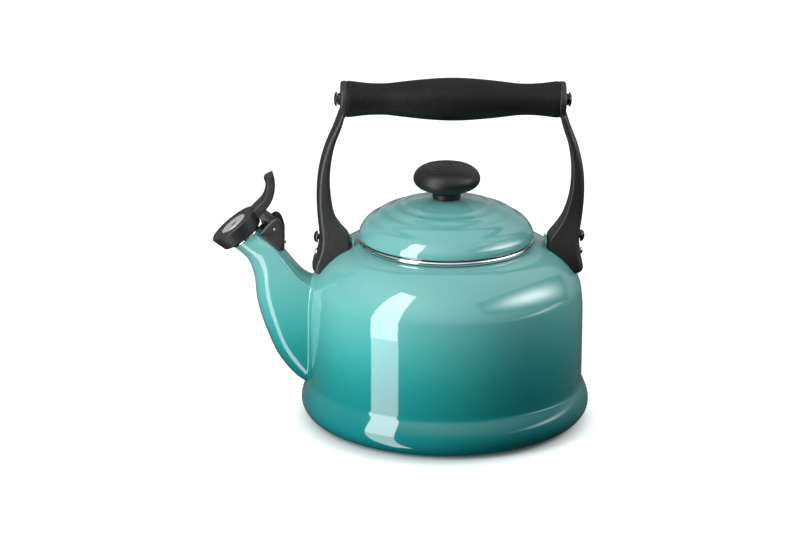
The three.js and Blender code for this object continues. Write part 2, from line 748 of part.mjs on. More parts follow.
/** Block welded on the crown, under the bracket's web. */
function whistleLugForm(grow) {
  const top = outline([
    [-116.2 - grow, 124.4 + grow], [-112.4 + grow, 123.6 + grow],
    [-109.8 + grow, 120.6 + grow], [-109.2 + grow, 117], [-114, 117],
  ]);
  return plate(top, -3.6 - grow, 3.6 + grow);
}

const HOUSING_SCREW = { x: -111.2, z: 122.2, turn: THREE.MathUtils.degToRad(45) };

/** A shape made along +Z, turned square to the spout's crown at the bracket's screw. */
function atHousingScrew(geometry) {
  return geometry.rotateY(HOUSING_SCREW.turn).translate(HOUSING_SCREW.x, 0, HOUSING_SCREW.z);
}

function housingScrewHole() {
  return atHousingScrew(turned([[0, -4], [1.3, -4], [1.3, 1.2], [2.6, 1.2], [2.6, 8], [0, 8]], 12));
}

function housingScrew() {
  return atHousingScrew(turned([[0, -0.6], [1, -0.6], [1, 1.6], [2.2, 1.6], [2.2, 2.6], [0, 3]], 12));
}

function whistleLug() {
  return solid(whistleLugForm(0)).subtract(solid(spoutSkin())).subtract(solid(housingScrewHole()));
}

// ---------------------------------------------------------------- assembly

const kettle = new THREE.Group();
kettle.add(
  piece('body_shell', bodyShell(), ENAMEL),
  piece('base_pan', basePan(), ENAMEL),
  piece('opening_rim', openingRim(), STEEL),
  piece('spout', spout(), ENAMEL),
  piece('spout_rim', tiltedToMouth(spoutBeadProfile(0, 24)), STEEL),
  piece('lid_shell', lidShell(), ENAMEL_LIGHT),
  piece('lid_skirt', lidSkirt(), STEEL),
  piece('knob', knob(), PHENOLIC),
  piece('knob_insert', knobInsert(), BRASS),
  piece('knob_screw', knobScrew(), STEEL),
  piece('knob_washer', knobWasher(), STEEL),
  handle(),
  piece('whistle_cap', whistleCap(), PHENOLIC),
  piece('whistle_plate_outer', whistlePlate(-0.3), ALUMINIUM),
  piece('whistle_plate_inner', whistlePlate(-CAP_DEPTH + 1.3), ALUMINIUM),
  piece('whistle_pin', whistlePin(), STEEL),
  piece('whistle_spring', whistleSpring(), STEEL),
  piece('whistle_housing', whistleHousing(), PHENOLIC),
  piece('whistle_lug', whistleLug(), ENAMEL),
  piece('whistle_housing_screw', housingScrew(), STEEL),
);

export default kettle;
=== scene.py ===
import json
import math

import bmesh
import bpy
from mathutils import Matrix, Vector


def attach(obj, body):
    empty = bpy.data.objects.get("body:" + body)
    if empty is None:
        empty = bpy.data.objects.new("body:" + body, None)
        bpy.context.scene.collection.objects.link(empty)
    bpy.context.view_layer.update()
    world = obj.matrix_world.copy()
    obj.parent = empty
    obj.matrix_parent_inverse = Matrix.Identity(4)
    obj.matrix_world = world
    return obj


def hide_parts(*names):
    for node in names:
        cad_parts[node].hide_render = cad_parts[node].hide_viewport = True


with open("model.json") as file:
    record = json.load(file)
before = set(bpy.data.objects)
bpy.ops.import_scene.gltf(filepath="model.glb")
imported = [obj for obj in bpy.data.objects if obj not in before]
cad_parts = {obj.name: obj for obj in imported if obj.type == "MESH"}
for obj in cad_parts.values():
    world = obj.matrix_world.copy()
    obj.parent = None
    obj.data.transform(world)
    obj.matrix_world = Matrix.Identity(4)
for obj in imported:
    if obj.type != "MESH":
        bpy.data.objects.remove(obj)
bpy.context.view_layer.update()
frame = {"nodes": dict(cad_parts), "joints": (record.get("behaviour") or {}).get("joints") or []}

# Lengths in this script are in millimetres, in the kettle's own frame: +Z up from the hob, the
# spout towards -X. They become metres when a mesh is made.
MM = 0.001

# ------------------------ driving dimensions

JOINTS = {joint["name"]: joint for joint in frame["joints"]}
PIN_X, _, PIN_Z = (v / MM for v in JOINTS["whistle_hinge"]["pos_m"])

SHEET = 1.6                      # enamelled sheet steel
FLAT_R = 83.7                    # flat of the base
BULGE_R, BULGE_Z = 98.0, 12.5    # widest ring
CREASE_Z = 26.8                  # where the bulge meets the wall
WALL_R = 93.2
LEAN_Z = 76.0                    # the wall leans in from here up to the shoulder
SHOULDER_R, SHOULDER_Z = 91.9, 91.7
MOUTH_R, MOUTH_Z = 56.8, 122.5   # top opening
RIM_R, RIM_TOP = 59.4, 126.1     # steel ring on the opening
LID_R, LID_Z, LID_CROWN_Z = 59.2, 127.5, 153.2
SKIRT_R, SKIRT_Z = 54.7, 113.0
KNOB_R, KNOB_WIDEST_Z, KNOB_TOP_Z = 22.6, 167.0, 176.2

GRIP_Z, GRIP_HALF = 222.0, 71.0
EYE_R, EYE_FACE_X = 12.2, 75.4
LEAN, TILT = math.radians(0.65), math.radians(0.35)
HANDLE_PIVOT_Z, HANDLE_SHIFT = 104.0, 1.6
FOOT_SCREW_Z, FOOT_RIVET_Z = 126.4, 115.8

CAP_TILT = math.radians(-38.0)
CAP_X, CAP_Z = -144.1, 136.3     # centre of the whistle cap's face
CAP_DEPTH, CAP_R = 10.8, 18.0
MOUTH_DROP, MOUTH_SHIFT, SPOUT_MOUTH_R = 12.4, 1.0, 10.6

# ------------------------ lines and outlines


def arc(cx, cy, rx, ry, start, end, steps):
    """Points on an elliptic arc, angles in degrees."""
    turns = [math.radians(start + (end - start) * i / steps) for i in range(steps + 1)]
    return [(cx + rx * math.cos(a), cy + ry * math.sin(a)) for a in turns]


def bezier(corners, steps):
    """Points on the cubic Bezier curve of four (x, y) corners."""
    line = []
    for i in range(steps + 1):
        t = i / steps
        weights = ((1 - t) ** 3, 3 * t * (1 - t) ** 2, 3 * t * t * (1 - t), t**3)
        line.append(tuple(sum(w * c[axis] for w, c in zip(weights, corners)) for axis in (0, 1)))
    return line


def softened(line, rounds):
    """The line with its small corners evened out; its two ends stay."""
    for _ in range(rounds):
        inner = [tuple((a + 2 * b + c) / 4 for a, b, c in zip(*three))
                 for three in zip(line[:-2], line[1:-1], line[2:])]
        line = [line[0]] + inner + [line[-1]]
    return line


def rounded(points, steps=5):
    """A line whose corners are rounded: each point is (x, y) or (x, y, radius)."""
    line = []
    for i, point in enumerate(points):
        if len(point) == 2 or i in (0, len(points) - 1):
            line.append(tuple(point[:2]))
            continue
        corner = Vector(point[:2])
        before = Vector(points[i - 1][:2]) - corner
        after = Vector(points[i + 1][:2]) - corner
        reach = point[2] / math.tan(before.angle(after) / 2)
        reach = min(reach, before.length * 0.49, after.length * 0.49)
        first = corner + before.normalized() * reach
        last = corner + after.normalized() * reach
        for k in range(steps + 1):
            t = k / steps
            line.append(tuple(first * (1 - t) ** 2 + corner * (2 * t * (1 - t)) + last * t * t))
    return line


def offset(line, distance):
    """The line moved towards its left side, seen along its direction."""
    moved = []
    for i, point in enumerate(line):
        before = line[max(i - 1, 0)]
        after = line[min(i + 1, len(line) - 1)]
        run, rise = after[0] - before[0], after[1] - before[1]
        size = math.hypot(run, rise)
        moved.append((point[0] - distance * rise / size, point[1] + distance * run / size))
    return moved


def spline(knots, t):
    """Point at t (0 to 1) of a centripetal Catmull-Rom curve through the knots."""
    knots = [Vector(knot) for knot in knots]
    place = t * (len(knots) - 1)
    i = min(int(place), len(knots) - 2)
    p1, p2 = knots[i], knots[i + 1]
    p0 = knots[i - 1] if i > 0 else p1 * 2 - p2
    p3 = knots[i + 2] if i + 2 < len(knots) else p2 * 2 - p1
    d0, d1, d2 = ((b - a).length ** 0.5 or 1e-6 for a, b in ((p0, p1), (p1, p2), (p2, p3)))
    m1 = ((p1 - p0) / d0 - (p2 - p0) / (d0 + d1) + (p2 - p1) / d1) * d1
    m2 = ((p2 - p1) / d1 - (p3 - p1) / (d1 + d2) + (p3 - p2) / d2) * d1
    w = place - i
    return (p1 * (2 * w**3 - 3 * w**2 + 1) + m1 * (w**3 - 2 * w**2 + w)
            + p2 * (3 * w**2 - 2 * w**3) + m2 * (w**3 - w**2))


def smoothstep(value, low, high):
    t = min(max((value - low) / (high - low), 0.0), 1.0)
    return t * t * (3 - 2 * t)


def bump_at(value, centre, width):
    """A smooth hump of height 1."""
    return math.exp(-(((value - centre) / width) ** 2))


# ------------------------ meshes


def mesh_piece(name, vertices, faces, material, body, slot, sharp=35.0):
    """A closed mesh as a piece that rides on a body. Vertices in millimetres."""
    mesh = bpy.data.meshes.new(name)
    mesh.from_pydata([tuple(c * MM for c in v) for v in vertices], [], faces)
    shell = bmesh.new()
    shell.from_mesh(mesh)
    bmesh.ops.remove_doubles(shell, verts=shell.verts, dist=1e-7)
    bmesh.ops.recalc_face_normals(shell, faces=shell.faces)
    shell.to_mesh(mesh)
    shell.free()
    mesh.shade_smooth()
    mesh.set_sharp_from_angle(angle=math.radians(sharp))
    mesh.materials.append(material)
    piece = bpy.data.objects.new(name, mesh)
    bpy.context.scene.collection.objects.link(piece)
    if body:
        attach(piece, body)
    return piece


def turned(profile, segments=160):
    """Vertices and faces of a shape turned about +Z from (radius, height) points."""
    vertices, faces, rings = [], [], []
    for r, z in profile:
        if r < 1e-6:
            rings.append([len(vertices)] * segments)
            vertices.append(Vector((0, 0, z)))
            continue
        rings.append([len(vertices) + k for k in range(segments)])
        for k in range(segments):
            turn = 2 * math.pi * k / segments
            vertices.append(Vector((r * math.cos(turn), r * math.sin(turn), z)))
    closed = profile[0] == profile[-1] and profile[0][0] > 1e-6
    pairs = list(zip(rings[:-1], rings[1:]))
    if closed:
        pairs[-1] = (rings[-2], rings[0])
    for low, high in pairs:
        for k in range(segments):
            n = (k + 1) % segments
            corners = [low[k], low[n], high[n], high[k]]
            face = [c for j, c in enumerate(corners) if c not in corners[:j]]
            if len(face) > 2:
                faces.append(face)
    return vertices, faces


def skinned(rings, capped=True):
    """Vertices and faces of a skin over rings of points, closed by a fan at each end."""
    count = len(rings[0])
    vertices = [Vector(p) for ring in rings for p in ring]
    faces = []
    for r in range(len(rings) - 1):
        for k in range(count):
            n = (k + 1) % count
            faces.append([r * count + k, r * count + n, (r + 1) * count + n, (r + 1) * count + k])
    if capped:
        for r in (0, len(rings) - 1):
            middle = sum((Vector(p) for p in rings[r]), Vector()) / count
            vertices.append(middle)
            for k in range(count):
                faces.append([r * count + k, r * count + (k + 1) % count, len(vertices) - 1])
    else:
        last = (len(rings) - 1) * count
        for k in range(count):
            n = (k + 1) % count
            faces.append([last + k, last + n, n, k])
    return vertices, faces


def joined(*shapes):
    """Several (vertices, faces) shapes as one."""
    vertices, faces = [], []
    for more_vertices, more_faces in shapes:
        start = len(vertices)
        vertices += more_vertices
        faces += [[start + c for c in face] for face in more_faces]
    return vertices, faces


def placed(shape, matrix):
    """The shape with its points moved by a matrix."""
    vertices, faces = shape
    return [matrix @ Vector(v) for v in vertices], faces


def along_x(shape):
    """The shape turned from +Z to +X."""
    return placed(shape, Matrix.Rotation(math.pi / 2, 4, "Y"))


def apply_modifiers(piece):
    """Makes the piece's modifiers permanent."""
    graph = bpy.context.evaluated_depsgraph_get()
    mesh = bpy.data.meshes.new_from_object(piece.evaluated_get(graph))
    piece.modifiers.clear()
    piece.data = mesh


def bevel_edges(piece, width, limit=30.0):
    """Rounds the piece's edges sharper than a limit, by a width in millimetres."""
    bevel = piece.modifiers.new("bevel", "BEVEL")
    bevel.width = width * MM
    bevel.segments = 2
    bevel.limit_method = "ANGLE"
    bevel.angle_limit = math.radians(limit)
    bevel.harden_normals = False
    apply_modifiers(piece)
    piece.data.shade_smooth()
    piece.data.set_sharp_from_angle(angle=math.radians(50))


def fuse(piece, voxel, rounds):
    """Makes one moulded skin round all the parts of a piece, its inner corners slightly filled."""
    remesh = piece.modifiers.new("skin", "REMESH")
    remesh.mode = "VOXEL"
    remesh.voxel_size = voxel * MM
    remesh.use_smooth_shade = True
    soften = piece.modifiers.new("soften", "SMOOTH")
    soften.factor = 0.5
    soften.iterations = rounds
    apply_modifiers(piece)


def cut(piece, shape, overlapping=False):
    """Takes a closed shape away from the piece, whose own parts may overlap."""
    tool = mesh_piece("cutter", *shape, piece.data.materials[0], None, None)
    boolean = piece.modifiers.new("cut", "BOOLEAN")
    boolean.operation = "DIFFERENCE"
    boolean.solver = "EXACT"
    boolean.use_self = overlapping
    boolean.object = tool
    apply_modifiers(piece)
    bpy.data.objects.remove(tool)
    piece.data.set_sharp_from_angle(angle=math.radians(45))


def prism(line, low, high):
    """A plate from an outline of (x, z) points, between two Y values."""
    count = len(line)
    vertices = [Vector((x, low, z)) for x, z in line] + [Vector((x, high, z)) for x, z in line]
    faces = [list(range(count)), list(range(2 * count - 1, count - 1, -1))]
    faces += [[k, (k + 1) % count, count + (k + 1) % count, count + k] for k in range(count)]
    return vertices, faces


# ------------------------ materials


def grey(level):
    return level, level, level


def add_node(tree, kind, inputs=None, **settings):
    """A new node, its inputs given as plain values or as other nodes' outputs."""
    node = tree.nodes.new(kind)
    for key, value in settings.items():
        setattr(node, key, value)
    for socket, value in (inputs or {}).items():
        if isinstance(value, bpy.types.NodeSocket):
            tree.links.new(value, node.inputs[socket])
        else:
            node.inputs[socket].default_value = value
    return node


class Shader:
    """A material's node tree with its principled shader and short ways to add nodes."""

    def __init__(self, name, roughness, metallic=0.0, **sockets):
        self.material = bpy.data.materials.new(name)
        self.material.use_nodes = True
        self.tree = self.material.node_tree
        self.main = self.tree.nodes["Principled BSDF"]
        self.main.inputs["Roughness"].default_value = roughness
        self.main.inputs["Metallic"].default_value = metallic
        for socket, value in sockets.items():
            self.main.inputs[socket.replace("_", " ")].default_value = value

    def node(self, kind, inputs=None, **settings):
        return add_node(self.tree, kind, inputs, **settings)

    def feed(self, socket, output):
        """Drives a socket of the principled shader."""
        self.tree.links.new(output, self.main.inputs[socket])

    def place(self):
        """Object coordinates, in metres from the kettle's origin."""
        return self.node("ShaderNodeTexCoord").outputs["Object"]

    def noise(self, period, detail=2.0, roughness=0.5, stretch=(1, 1, 1)):
        """Noise between 0 and 1 whose features are about period millimetres wide."""
        scaled = self.node("ShaderNodeMapping", {"Vector": self.place(), "Scale": stretch})
        noise = self.node("ShaderNodeTexNoise", {
            "Vector": scaled.outputs["Vector"], "Scale": 1 / (period * MM),
            "Detail": detail, "Roughness": roughness})
        return noise.outputs["Fac"]

    def ramp(self, factor, stops, interpolation="EASE"):
        """A colour ramp from (position, colour) stops."""
        node = self.node("ShaderNodeValToRGB", {"Fac": factor})
        ramp = node.color_ramp
        ramp.interpolation = interpolation
        while len(ramp.elements) < len(stops):
            ramp.elements.new(0.5)
        for element, (position, color) in zip(ramp.elements, stops):
            element.position = position
            element.color = (*color, 1)
        return node.outputs["Color"]

    def spread(self, factor, low, high):
        """Maps 0..1 onto low..high."""
        inputs = {"Value": factor, "To Min": low, "To Max": high}
        return self.node("ShaderNodeMapRange", inputs).outputs["Result"]

    def tint(self, color, factor, strength):
        """The colour, darker by up to strength where the factor is low."""
        base = (*color, 1) if isinstance(color, tuple) else color
        inputs = {0: self.spread(factor, strength, 0.0), 6: base, 7: (0, 0, 0, 1)}
        return self.node("ShaderNodeMix", inputs, data_type="RGBA").outputs[2]

    def bumps(self, *layers):
        """Bump layers of (height output, depth in millimetres), one on the other."""
        normal = {}
        for height, depth in layers:
            inputs = {"Height": height, "Distance": depth * MM, "Strength": 1.0, **normal}
            normal = {"Normal": self.node("ShaderNodeBump", inputs).outputs["Normal"]}
        self.feed("Normal", normal["Normal"])


DARK_TEAL = (0.005, 0.122, 0.128)
DEEP_TEAL = (0.0075, 0.182, 0.172)
MIDDLE_TEAL = (0.044, 0.288, 0.273)
LIGHT_TEAL = (0.108, 0.31, 0.295)
# The sprayed colours by height, as shares of the way up to the opening.
SPRAY_STOPS = [(0.1, DARK_TEAL), (0.4, DEEP_TEAL), (0.62, MIDDLE_TEAL), (0.86, LIGHT_TEAL)]
SPRAY_SPREAD = 0.04              # how far the droplets of one colour stray into the next


def enamel(name, by_height):
    """Glossy vitreous enamel: sprayed colour under clear glass, with a faint orange peel."""
    shader = Shader(name, roughness=0.06, IOR=1.52, Coat_Weight=0.3, Coat_Roughness=0.03)
    if by_height:
        axes = shader.node("ShaderNodeSeparateXYZ", {"Vector": shader.place()})
        inputs = {"Value": axes.outputs["Z"], "From Max": MOUTH_Z * MM}
        level = shader.node("ShaderNodeMapRange", inputs).outputs["Result"]
        inputs = {0: shader.noise(0.8, detail=4.0), 1: SPRAY_SPREAD, 2: level}
        spray = shader.node("ShaderNodeMath", inputs, operation="MULTIPLY_ADD")
        color = shader.ramp(spray.outputs["Value"], SPRAY_STOPS, "B_SPLINE")
    else:
        color = LIGHT_TEAL
    fine = shader.tint(color, shader.noise(0.5, detail=3.0), 0.05)
    broad = shader.tint(fine, shader.noise(35.0), 0.05)
    shader.feed("Base Color", broad)
    shader.bumps((shader.noise(9.0, detail=1.0), 0.014), (shader.noise(2.2, detail=1.0), 0.001))
    return shader.material


def phenolic(name, shade, gloss):
    """Black moulded phenolic with the fine satin grain of the mould."""
    shader = Shader(name, roughness=0.42, IOR=1.5, Specular_IOR_Level=gloss)
    grain = shader.noise(0.7, detail=3.0, roughness=0.6)
    dark, light = ((part * shade, part * shade, 1.05 * part * shade) for part in (0.4, 1.6))
    color = shader.ramp(grain, [(0.35, dark), (0.7, light)])
    shader.feed("Base Color", color)
    shader.feed("Roughness", shader.spread(shader.noise(1.2), 0.36, 0.56))
    shader.bumps((shader.noise(1.1, detail=2.0), 0.05), (shader.noise(0.4, detail=2.0), 0.03))
    return shader.material


def gloss_black(name):
    """Black lacquer on the domed screws."""
    shader = Shader(name, roughness=0.12, IOR=1.5)
    stops = [(0.3, grey(0.004)), (0.8, grey(0.012))]
    shader.feed("Base Color", shader.ramp(shader.noise(2.0), stops))
    shader.bumps((shader.noise(0.8), 0.004))
    return shader.material


def metal(name, dark, light, roughness, grain, stretch=(1, 1, 1)):
    """Metal with a fine directional finish and small changes of gloss."""
    shader = Shader(name, roughness=roughness, metallic=1.0)
    marks = shader.noise(grain, detail=3.0, stretch=stretch)
    shader.feed("Base Color", shader.ramp(marks, [(0.3, dark), (0.7, light)]))
    gloss = shader.spread(shader.noise(grain * 6), roughness * 0.8, roughness * 1.3)
    shader.feed("Roughness", gloss)
    shader.bumps((marks, 0.02 * roughness**1.5))
    return shader.material


ENAMEL = enamel("enamel_body", by_height=True)
ENAMEL_LID = enamel("enamel_lid", by_height=False)
PHENOLIC = phenolic("phenolic_black", 0.0095, 0.5)
# The knob and the grip are the same phenolic as the arms, made darker and less glossy: painted shade
# where the lights leave them darker.
PHENOLIC_KNOB_SHADED = phenolic("phenolic_knob_shaded", 0.008, 0.35)
PHENOLIC_GRIP_SHADED = phenolic("phenolic_grip_shaded", 0.0065, 0.17)
SCREW_BLACK = gloss_black("screw_black")
POLISHED = metal("steel_polished", (0.66, 0.67, 0.68), (0.8, 0.81, 0.81), 0.09, 0.9, (1, 1, 8))
PLATED = metal("steel_plated", (0.5, 0.5, 0.49), (0.66, 0.66, 0.64), 0.28, 0.5)
SPRING = metal("steel_spring", grey(0.42), grey(0.6), 0.22, 0.4)
BRASS = metal("brass_turned", (0.5, 0.38, 0.14), (0.68, 0.54, 0.24), 0.25, 0.4, (8, 1, 1))
# The inner whistle plate is near black: painted shade in the whistle's chamber, seen through the
# outer plate's hole.
PAINTED_SHADE_ALUMINIUM = metal("aluminium_painted_shade", grey(0.012), grey(0.03), 0.5, 0.4)
ALUMINIUM = metal("aluminium_satin", (0.55, 0.555, 0.565), (0.68, 0.685, 0.695), 0.55, 0.35,
                  (1, 6, 1))

# ------------------------ body


def bulge_line():
    """The base ring: from the flat out round the bulge and back in to the crease."""
    lower = arc(FLAT_R, BULGE_Z, BULGE_R - FLAT_R, BULGE_Z, -90, 0, 20)
    upper = bezier([(BULGE_R, BULGE_Z), (BULGE_R, BULGE_Z + 5), (WALL_R + 1.7, CREASE_Z - 3.6),
                    (WALL_R, CREASE_Z)], 16)
    return lower + upper[1:]


LEAN_POWER, SHOULDER_POWER = 1.65, 1.45    # how late the wall leans in, how full the shoulder is


def wall_line():
    """The wall above the crease, its slight lean inwards and the shoulder, up to the opening."""
    lean = []
    for i in range(16):
        share = i / 16
        lean.append((WALL_R - (WALL_R - SHOULDER_R) * share**LEAN_POWER,
                     LEAN_Z + (SHOULDER_Z - LEAN_Z) * i / 16))
    shoulder = []
    for i in range(41):
        turn = math.pi / 2 * i / 40
        shoulder.append((MOUTH_R + (SHOULDER_R - MOUTH_R) * math.cos(turn),
                         SHOULDER_Z + (MOUTH_Z - SHOULDER_Z) * math.sin(turn) ** SHOULDER_POWER))
    return [(WALL_R, 45), (WALL_R, 58)] + softened([(WALL_R, 70), (WALL_R, 73)] + lean + shoulder, 8)


def body_line():
    """Outer line of the body, from the middle of the base to the top opening."""
    bulge = bulge_line()[:-5]
    crease = rounded([bulge[-1], (WALL_R, CREASE_Z, 9), (WALL_R, CREASE_Z + 5)], 14)
    return [(0, 0), (40, 0), (FLAT_R - 8, 0)] + bulge + crease[1:] + wall_line()


def body_radius(z):
    """Outer radius of the body at a height."""
    line = body_line()[3:]
    for (r0, z0), (r1, z1) in zip(line[:-1], line[1:]):
        if z0 <= z <= z1:
            return r0 + (r1 - r0) * (z - z0) / max(z1 - z0, 1e-6)
    return 0.0


HOLE_R, HOLE_PITCH, HOLE_ROWS = 2.4, 7.2, 5      # strainer holes behind the spout
HOLE_LOW_Z, HOLE_ROW_PITCH = 42, 10


def make_body():
    """The enamelled body and base in one skin, with the strainer holes behind the spout."""
    outer = body_line()
    inner = offset(outer, SHEET)[::-1]
    inner[-1] = (0, SHEET)
    body = mesh_piece("body", *turned(outer + inner), ENAMEL, "kettle", "enamel")
    plug = along_x(turned([(0, -6), (HOLE_R, -6), (HOLE_R, 6), (0, 6)], 24))
    for row in range(HOLE_ROWS):
        places = (-0.5, 0.5) if row % 2 else (-1, 0, 1)
        for place in places:
            at = (-WALL_R, place * HOLE_PITCH, HOLE_LOW_Z + row * HOLE_ROW_PITCH)
            cut(body, placed(plug, Matrix.Translation(at)))
    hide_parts("body_shell", "base_pan")


def make_opening_rim():
    bead = (RIM_TOP - MOUTH_Z - 0.3) / 2
    profile = [(56.2, MOUTH_Z - 3.2), (56.2, MOUTH_Z)]
    profile += arc(RIM_R - bead, RIM_TOP - bead, bead, bead, -90, 90, 16)
    profile += arc(57, RIM_TOP - 1.6, 1.6, 1.6, 90, 180, 6) + [(55.4, MOUTH_Z - 3.2)] + profile[:1]
    rim = mesh_piece("rim_ring", *turned(profile), POLISHED, "kettle", "stainless")
    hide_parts("opening_rim")


# ------------------------ spout


def mouth_edge(side):
    """Lowest (-1) or highest (1) point of the spout's round mouth, as (x, z)."""
    along = MOUTH_SHIFT + side * SPOUT_MOUTH_R
    c, s = math.cos(CAP_TILT), math.sin(CAP_TILT)
    return CAP_X + along * c - MOUTH_DROP * s, CAP_Z - along * s - MOUTH_DROP * c


# Stations up the spout: lower edge, upper edge (both x, z), half width and height of the crown.
SPOUT_STATIONS = [
    ((-84, 20.6), (-82, 97.8), 13, 6.2),
    ((-97.3, 25), (-90.5, 99.8), 13, 6.2),
    ((-112.3, 41), (-96.5, 103.2), 12.8, 5.6),
    ((-122.3, 62.9), (-102, 108.8), 12.4, 5),
    ((-127.9, 82), (-106.6, 114.6), 11.8, 4.6),
    ((-130, 100), (-113, 122), 11.2, 4.2),
    ((-134.4, 111.6), (-120.2, 128.4), 10.9, 5),
    (mouth_edge(-1), mouth_edge(1), SPOUT_MOUTH_R, SPOUT_MOUTH_R),
]
SPOUT_LOW = [(x, 0, z) for (x, z), _, _, _ in SPOUT_STATIONS]
SPOUT_HIGH = [(x, 0, z) for _, (x, z), _, _ in SPOUT_STATIONS]
SPOUT_SIZE = [(half, crown, 0) for _, _, half, crown in SPOUT_STATIONS]

KEEL_SHAPE = 1.45                # depth of the oval underside, in half widths
CREST_R = 3.2                    # radius of the edge between flank and top
KEEL_STEPS, FLANK_STEPS, ARCH_STEPS = 14, 16, 20
SPOUT_FILLET = 2.4               # radius of the enamel where the spout meets the wall


def spout_section(t, grow):
    """Points round the spout at t: oval underside, flat flanks, a tight shoulder, a low arch."""
    low, high, size = (spline(knots, t) for knots in (SPOUT_LOW, SPOUT_HIGH, SPOUT_SIZE))
    up = (high - low).normalized()
    half, crown = size.x + grow, size.y
    height = (high - low).length + 2 * grow
    flank_top = height - crown
    arch = []
    for i in range(ARCH_STEPS + 1):
        out = 1 - i / ARCH_STEPS
        arch.append((half * out, flank_top + crown * (1 - out**2)))
    corner = rounded([(half, flank_top - 5), (*arch[0], CREST_R), arch[6]], 8)[1:-1]
    keel = min(KEEL_SHAPE * half, corner[0][1] - 1)
    section = arc(0, keel, half, keel, -90, 0, KEEL_STEPS)
    section += [(half, keel + (corner[0][1] - keel) * i / FLANK_STEPS)
                for i in range(1, FLANK_STEPS)]
    section += corner + arch[7:]
    roundness = smoothstep(t, 0.8, 1.0)
    blended = []
    for i, (y, rise) in enumerate(section):
        if i <= KEEL_STEPS:
            turn = -math.pi / 2 * (KEEL_STEPS - i) / KEEL_STEPS
        else:
            turn = math.pi / 2 * (i - KEEL_STEPS) / (len(section) - 1 - KEEL_STEPS)
        circle_y, circle_rise = half * math.cos(turn), height / 2 * (1 + math.sin(turn))
        blended.append((y + (circle_y - y) * roundness, rise + (circle_rise - rise) * roundness))
    mirrored = [(-y, rise) for y, rise in blended[1:-1]][::-1]
    base = low - up * grow
    return [base + up * rise + Vector((0, y, 0)) for y, rise in blended + mirrored]


def outside_wall(point):
    """How far a point stands out from the body's wall."""
    return math.hypot(point.x, point.y) - body_radius(point.z)


def spout_lines(grow, sink, steps):
    """The spout's rings, each line of the skin starting sunk a little into the body's wall."""
    fine = [spout_section(i / 160, grow) for i in range(161)]
    starts = []
    for k in range(len(fine[0])):
        out = [outside_wall(ring[k]) + sink for ring in fine]
        i = max(j for j in range(160) if out[j] < 0)
        starts.append((i + out[i] / (out[i] - out[i + 1])) / 160)
    rings = []
    for i in range(steps + 1):
        share = (i / steps) ** 1.8
        rings.append([spout_section(s + (1 - s) * share, grow)[k] for k, s in enumerate(starts)])
    return rings


def with_fillet(rings, radius):
    """The rings flared out onto the body's wall by a concave fillet."""
    filled = [list(ring) for ring in rings]
    count = len(rings[0])
    middle = sum(rings[0], Vector()) / count
    for k in range(count):
        across = rings[0][(k + 1) % count] - rings[0][k - 1]
        ahead = rings[3][k] - rings[0][k]
        out = across.cross(ahead).normalized()
        if out.dot(rings[0][k] - middle) < 0:
            out = -out
        size = radius * (1 - 0.6 * smoothstep(-out.z, 0.2, 0.8))
        foot = rings[0][k] + out * size
        wall = body_radius(foot.z) - 0.12
        foot.xy *= wall / math.hypot(foot.x, foot.y)
        run = 0.0
        for i, ring in enumerate(rings):
            run += (ring[k] - rings[i - 1][k]).length if i else 0.0
            if run >= size:
                break
            lift = 1 - math.sqrt(1 - (1 - run / size) ** 2)
            filled[i][k] = ring[k] + (foot - rings[0][k]) * lift
    return filled


def make_spout():
    """The enamelled spout: its outer skin, rounded lip and inner skin."""
    outer = with_fillet(spout_lines(0, 0.1, 72), SPOUT_FILLET)
    inner = spout_lines(-SHEET, SHEET, 40)
    lip = [[(a + b) / 2 for a, b in zip(outer[-1], inner[-1])]]
    rings = outer + lip + inner[::-1]
    spout = mesh_piece("spout_shell", *skinned(rings, capped=False), ENAMEL, "kettle", "enamel")
    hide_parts("spout")


def at_cap():
    """From +Z and the cap's face at zero to the tilted cap's place."""
    return Matrix.Translation((CAP_X, 0, CAP_Z)) @ Matrix.Rotation(CAP_TILT, 4, "Y")


def make_spout_bead():
    ring = arc(SPOUT_MOUTH_R - 0.2, -MOUTH_DROP, 1, 1, 0, 360, 16)
    ring[-1] = ring[0]
    shape = placed(turned(ring, 96), at_cap() @ Matrix.Translation((MOUTH_SHIFT, 0, 0)))
    bead = mesh_piece("spout_bead", *shape, POLISHED, "kettle", "stainless")
    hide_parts("spout_rim")


# ------------------------ lid and knob

LID_RISE, LID_POWER = 26.2, 1.6  # the dome before its crown is flattened
LID_HOLE_R = 2.6                 # for the knob's screw
LID_WAVE_START, LID_WAVE, LID_WAVE_HEIGHT = 23.5, 9.5, 0.32   # the pressed steps


def lid_height(r):
    """The lid's dome with three soft pressed steps."""
    dome = LID_Z + LID_RISE * math.sqrt(max(0.0, 1 - (r / LID_R) ** LID_POWER))
    wave = math.sin(2 * math.pi * (r - LID_WAVE_START) / LID_WAVE)
    there = smoothstep(r, 21, 30) * (1 - smoothstep(r, 55, 58.5))
    return min(dome, LID_CROWN_Z) + LID_WAVE_HEIGHT * there * wave


def make_lid():
    """The enamelled dome, closed by a rounded edge and its underside."""
    radii = [LID_HOLE_R] + [LID_R * math.sin(math.pi / 2 * i / 90) for i in range(5, 91)]
    outer = [(r, lid_height(r)) for r in radii]
    inner = offset(outer, -SHEET)
    inner[0] = (LID_HOLE_R, inner[0][1])
    inner = [p for p in inner if p[1] > LID_Z + 0.4]
    edge = arc(LID_R - 0.8, LID_Z + 0.2, 0.8, 0.8, 0, -180, 8)
    profile = outer[:-1] + edge + inner[::-1] + outer[:1]
    lid = mesh_piece("lid_dome", *turned(profile), ENAMEL_LID, "lid", "enamel_light")
    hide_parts("lid_shell")


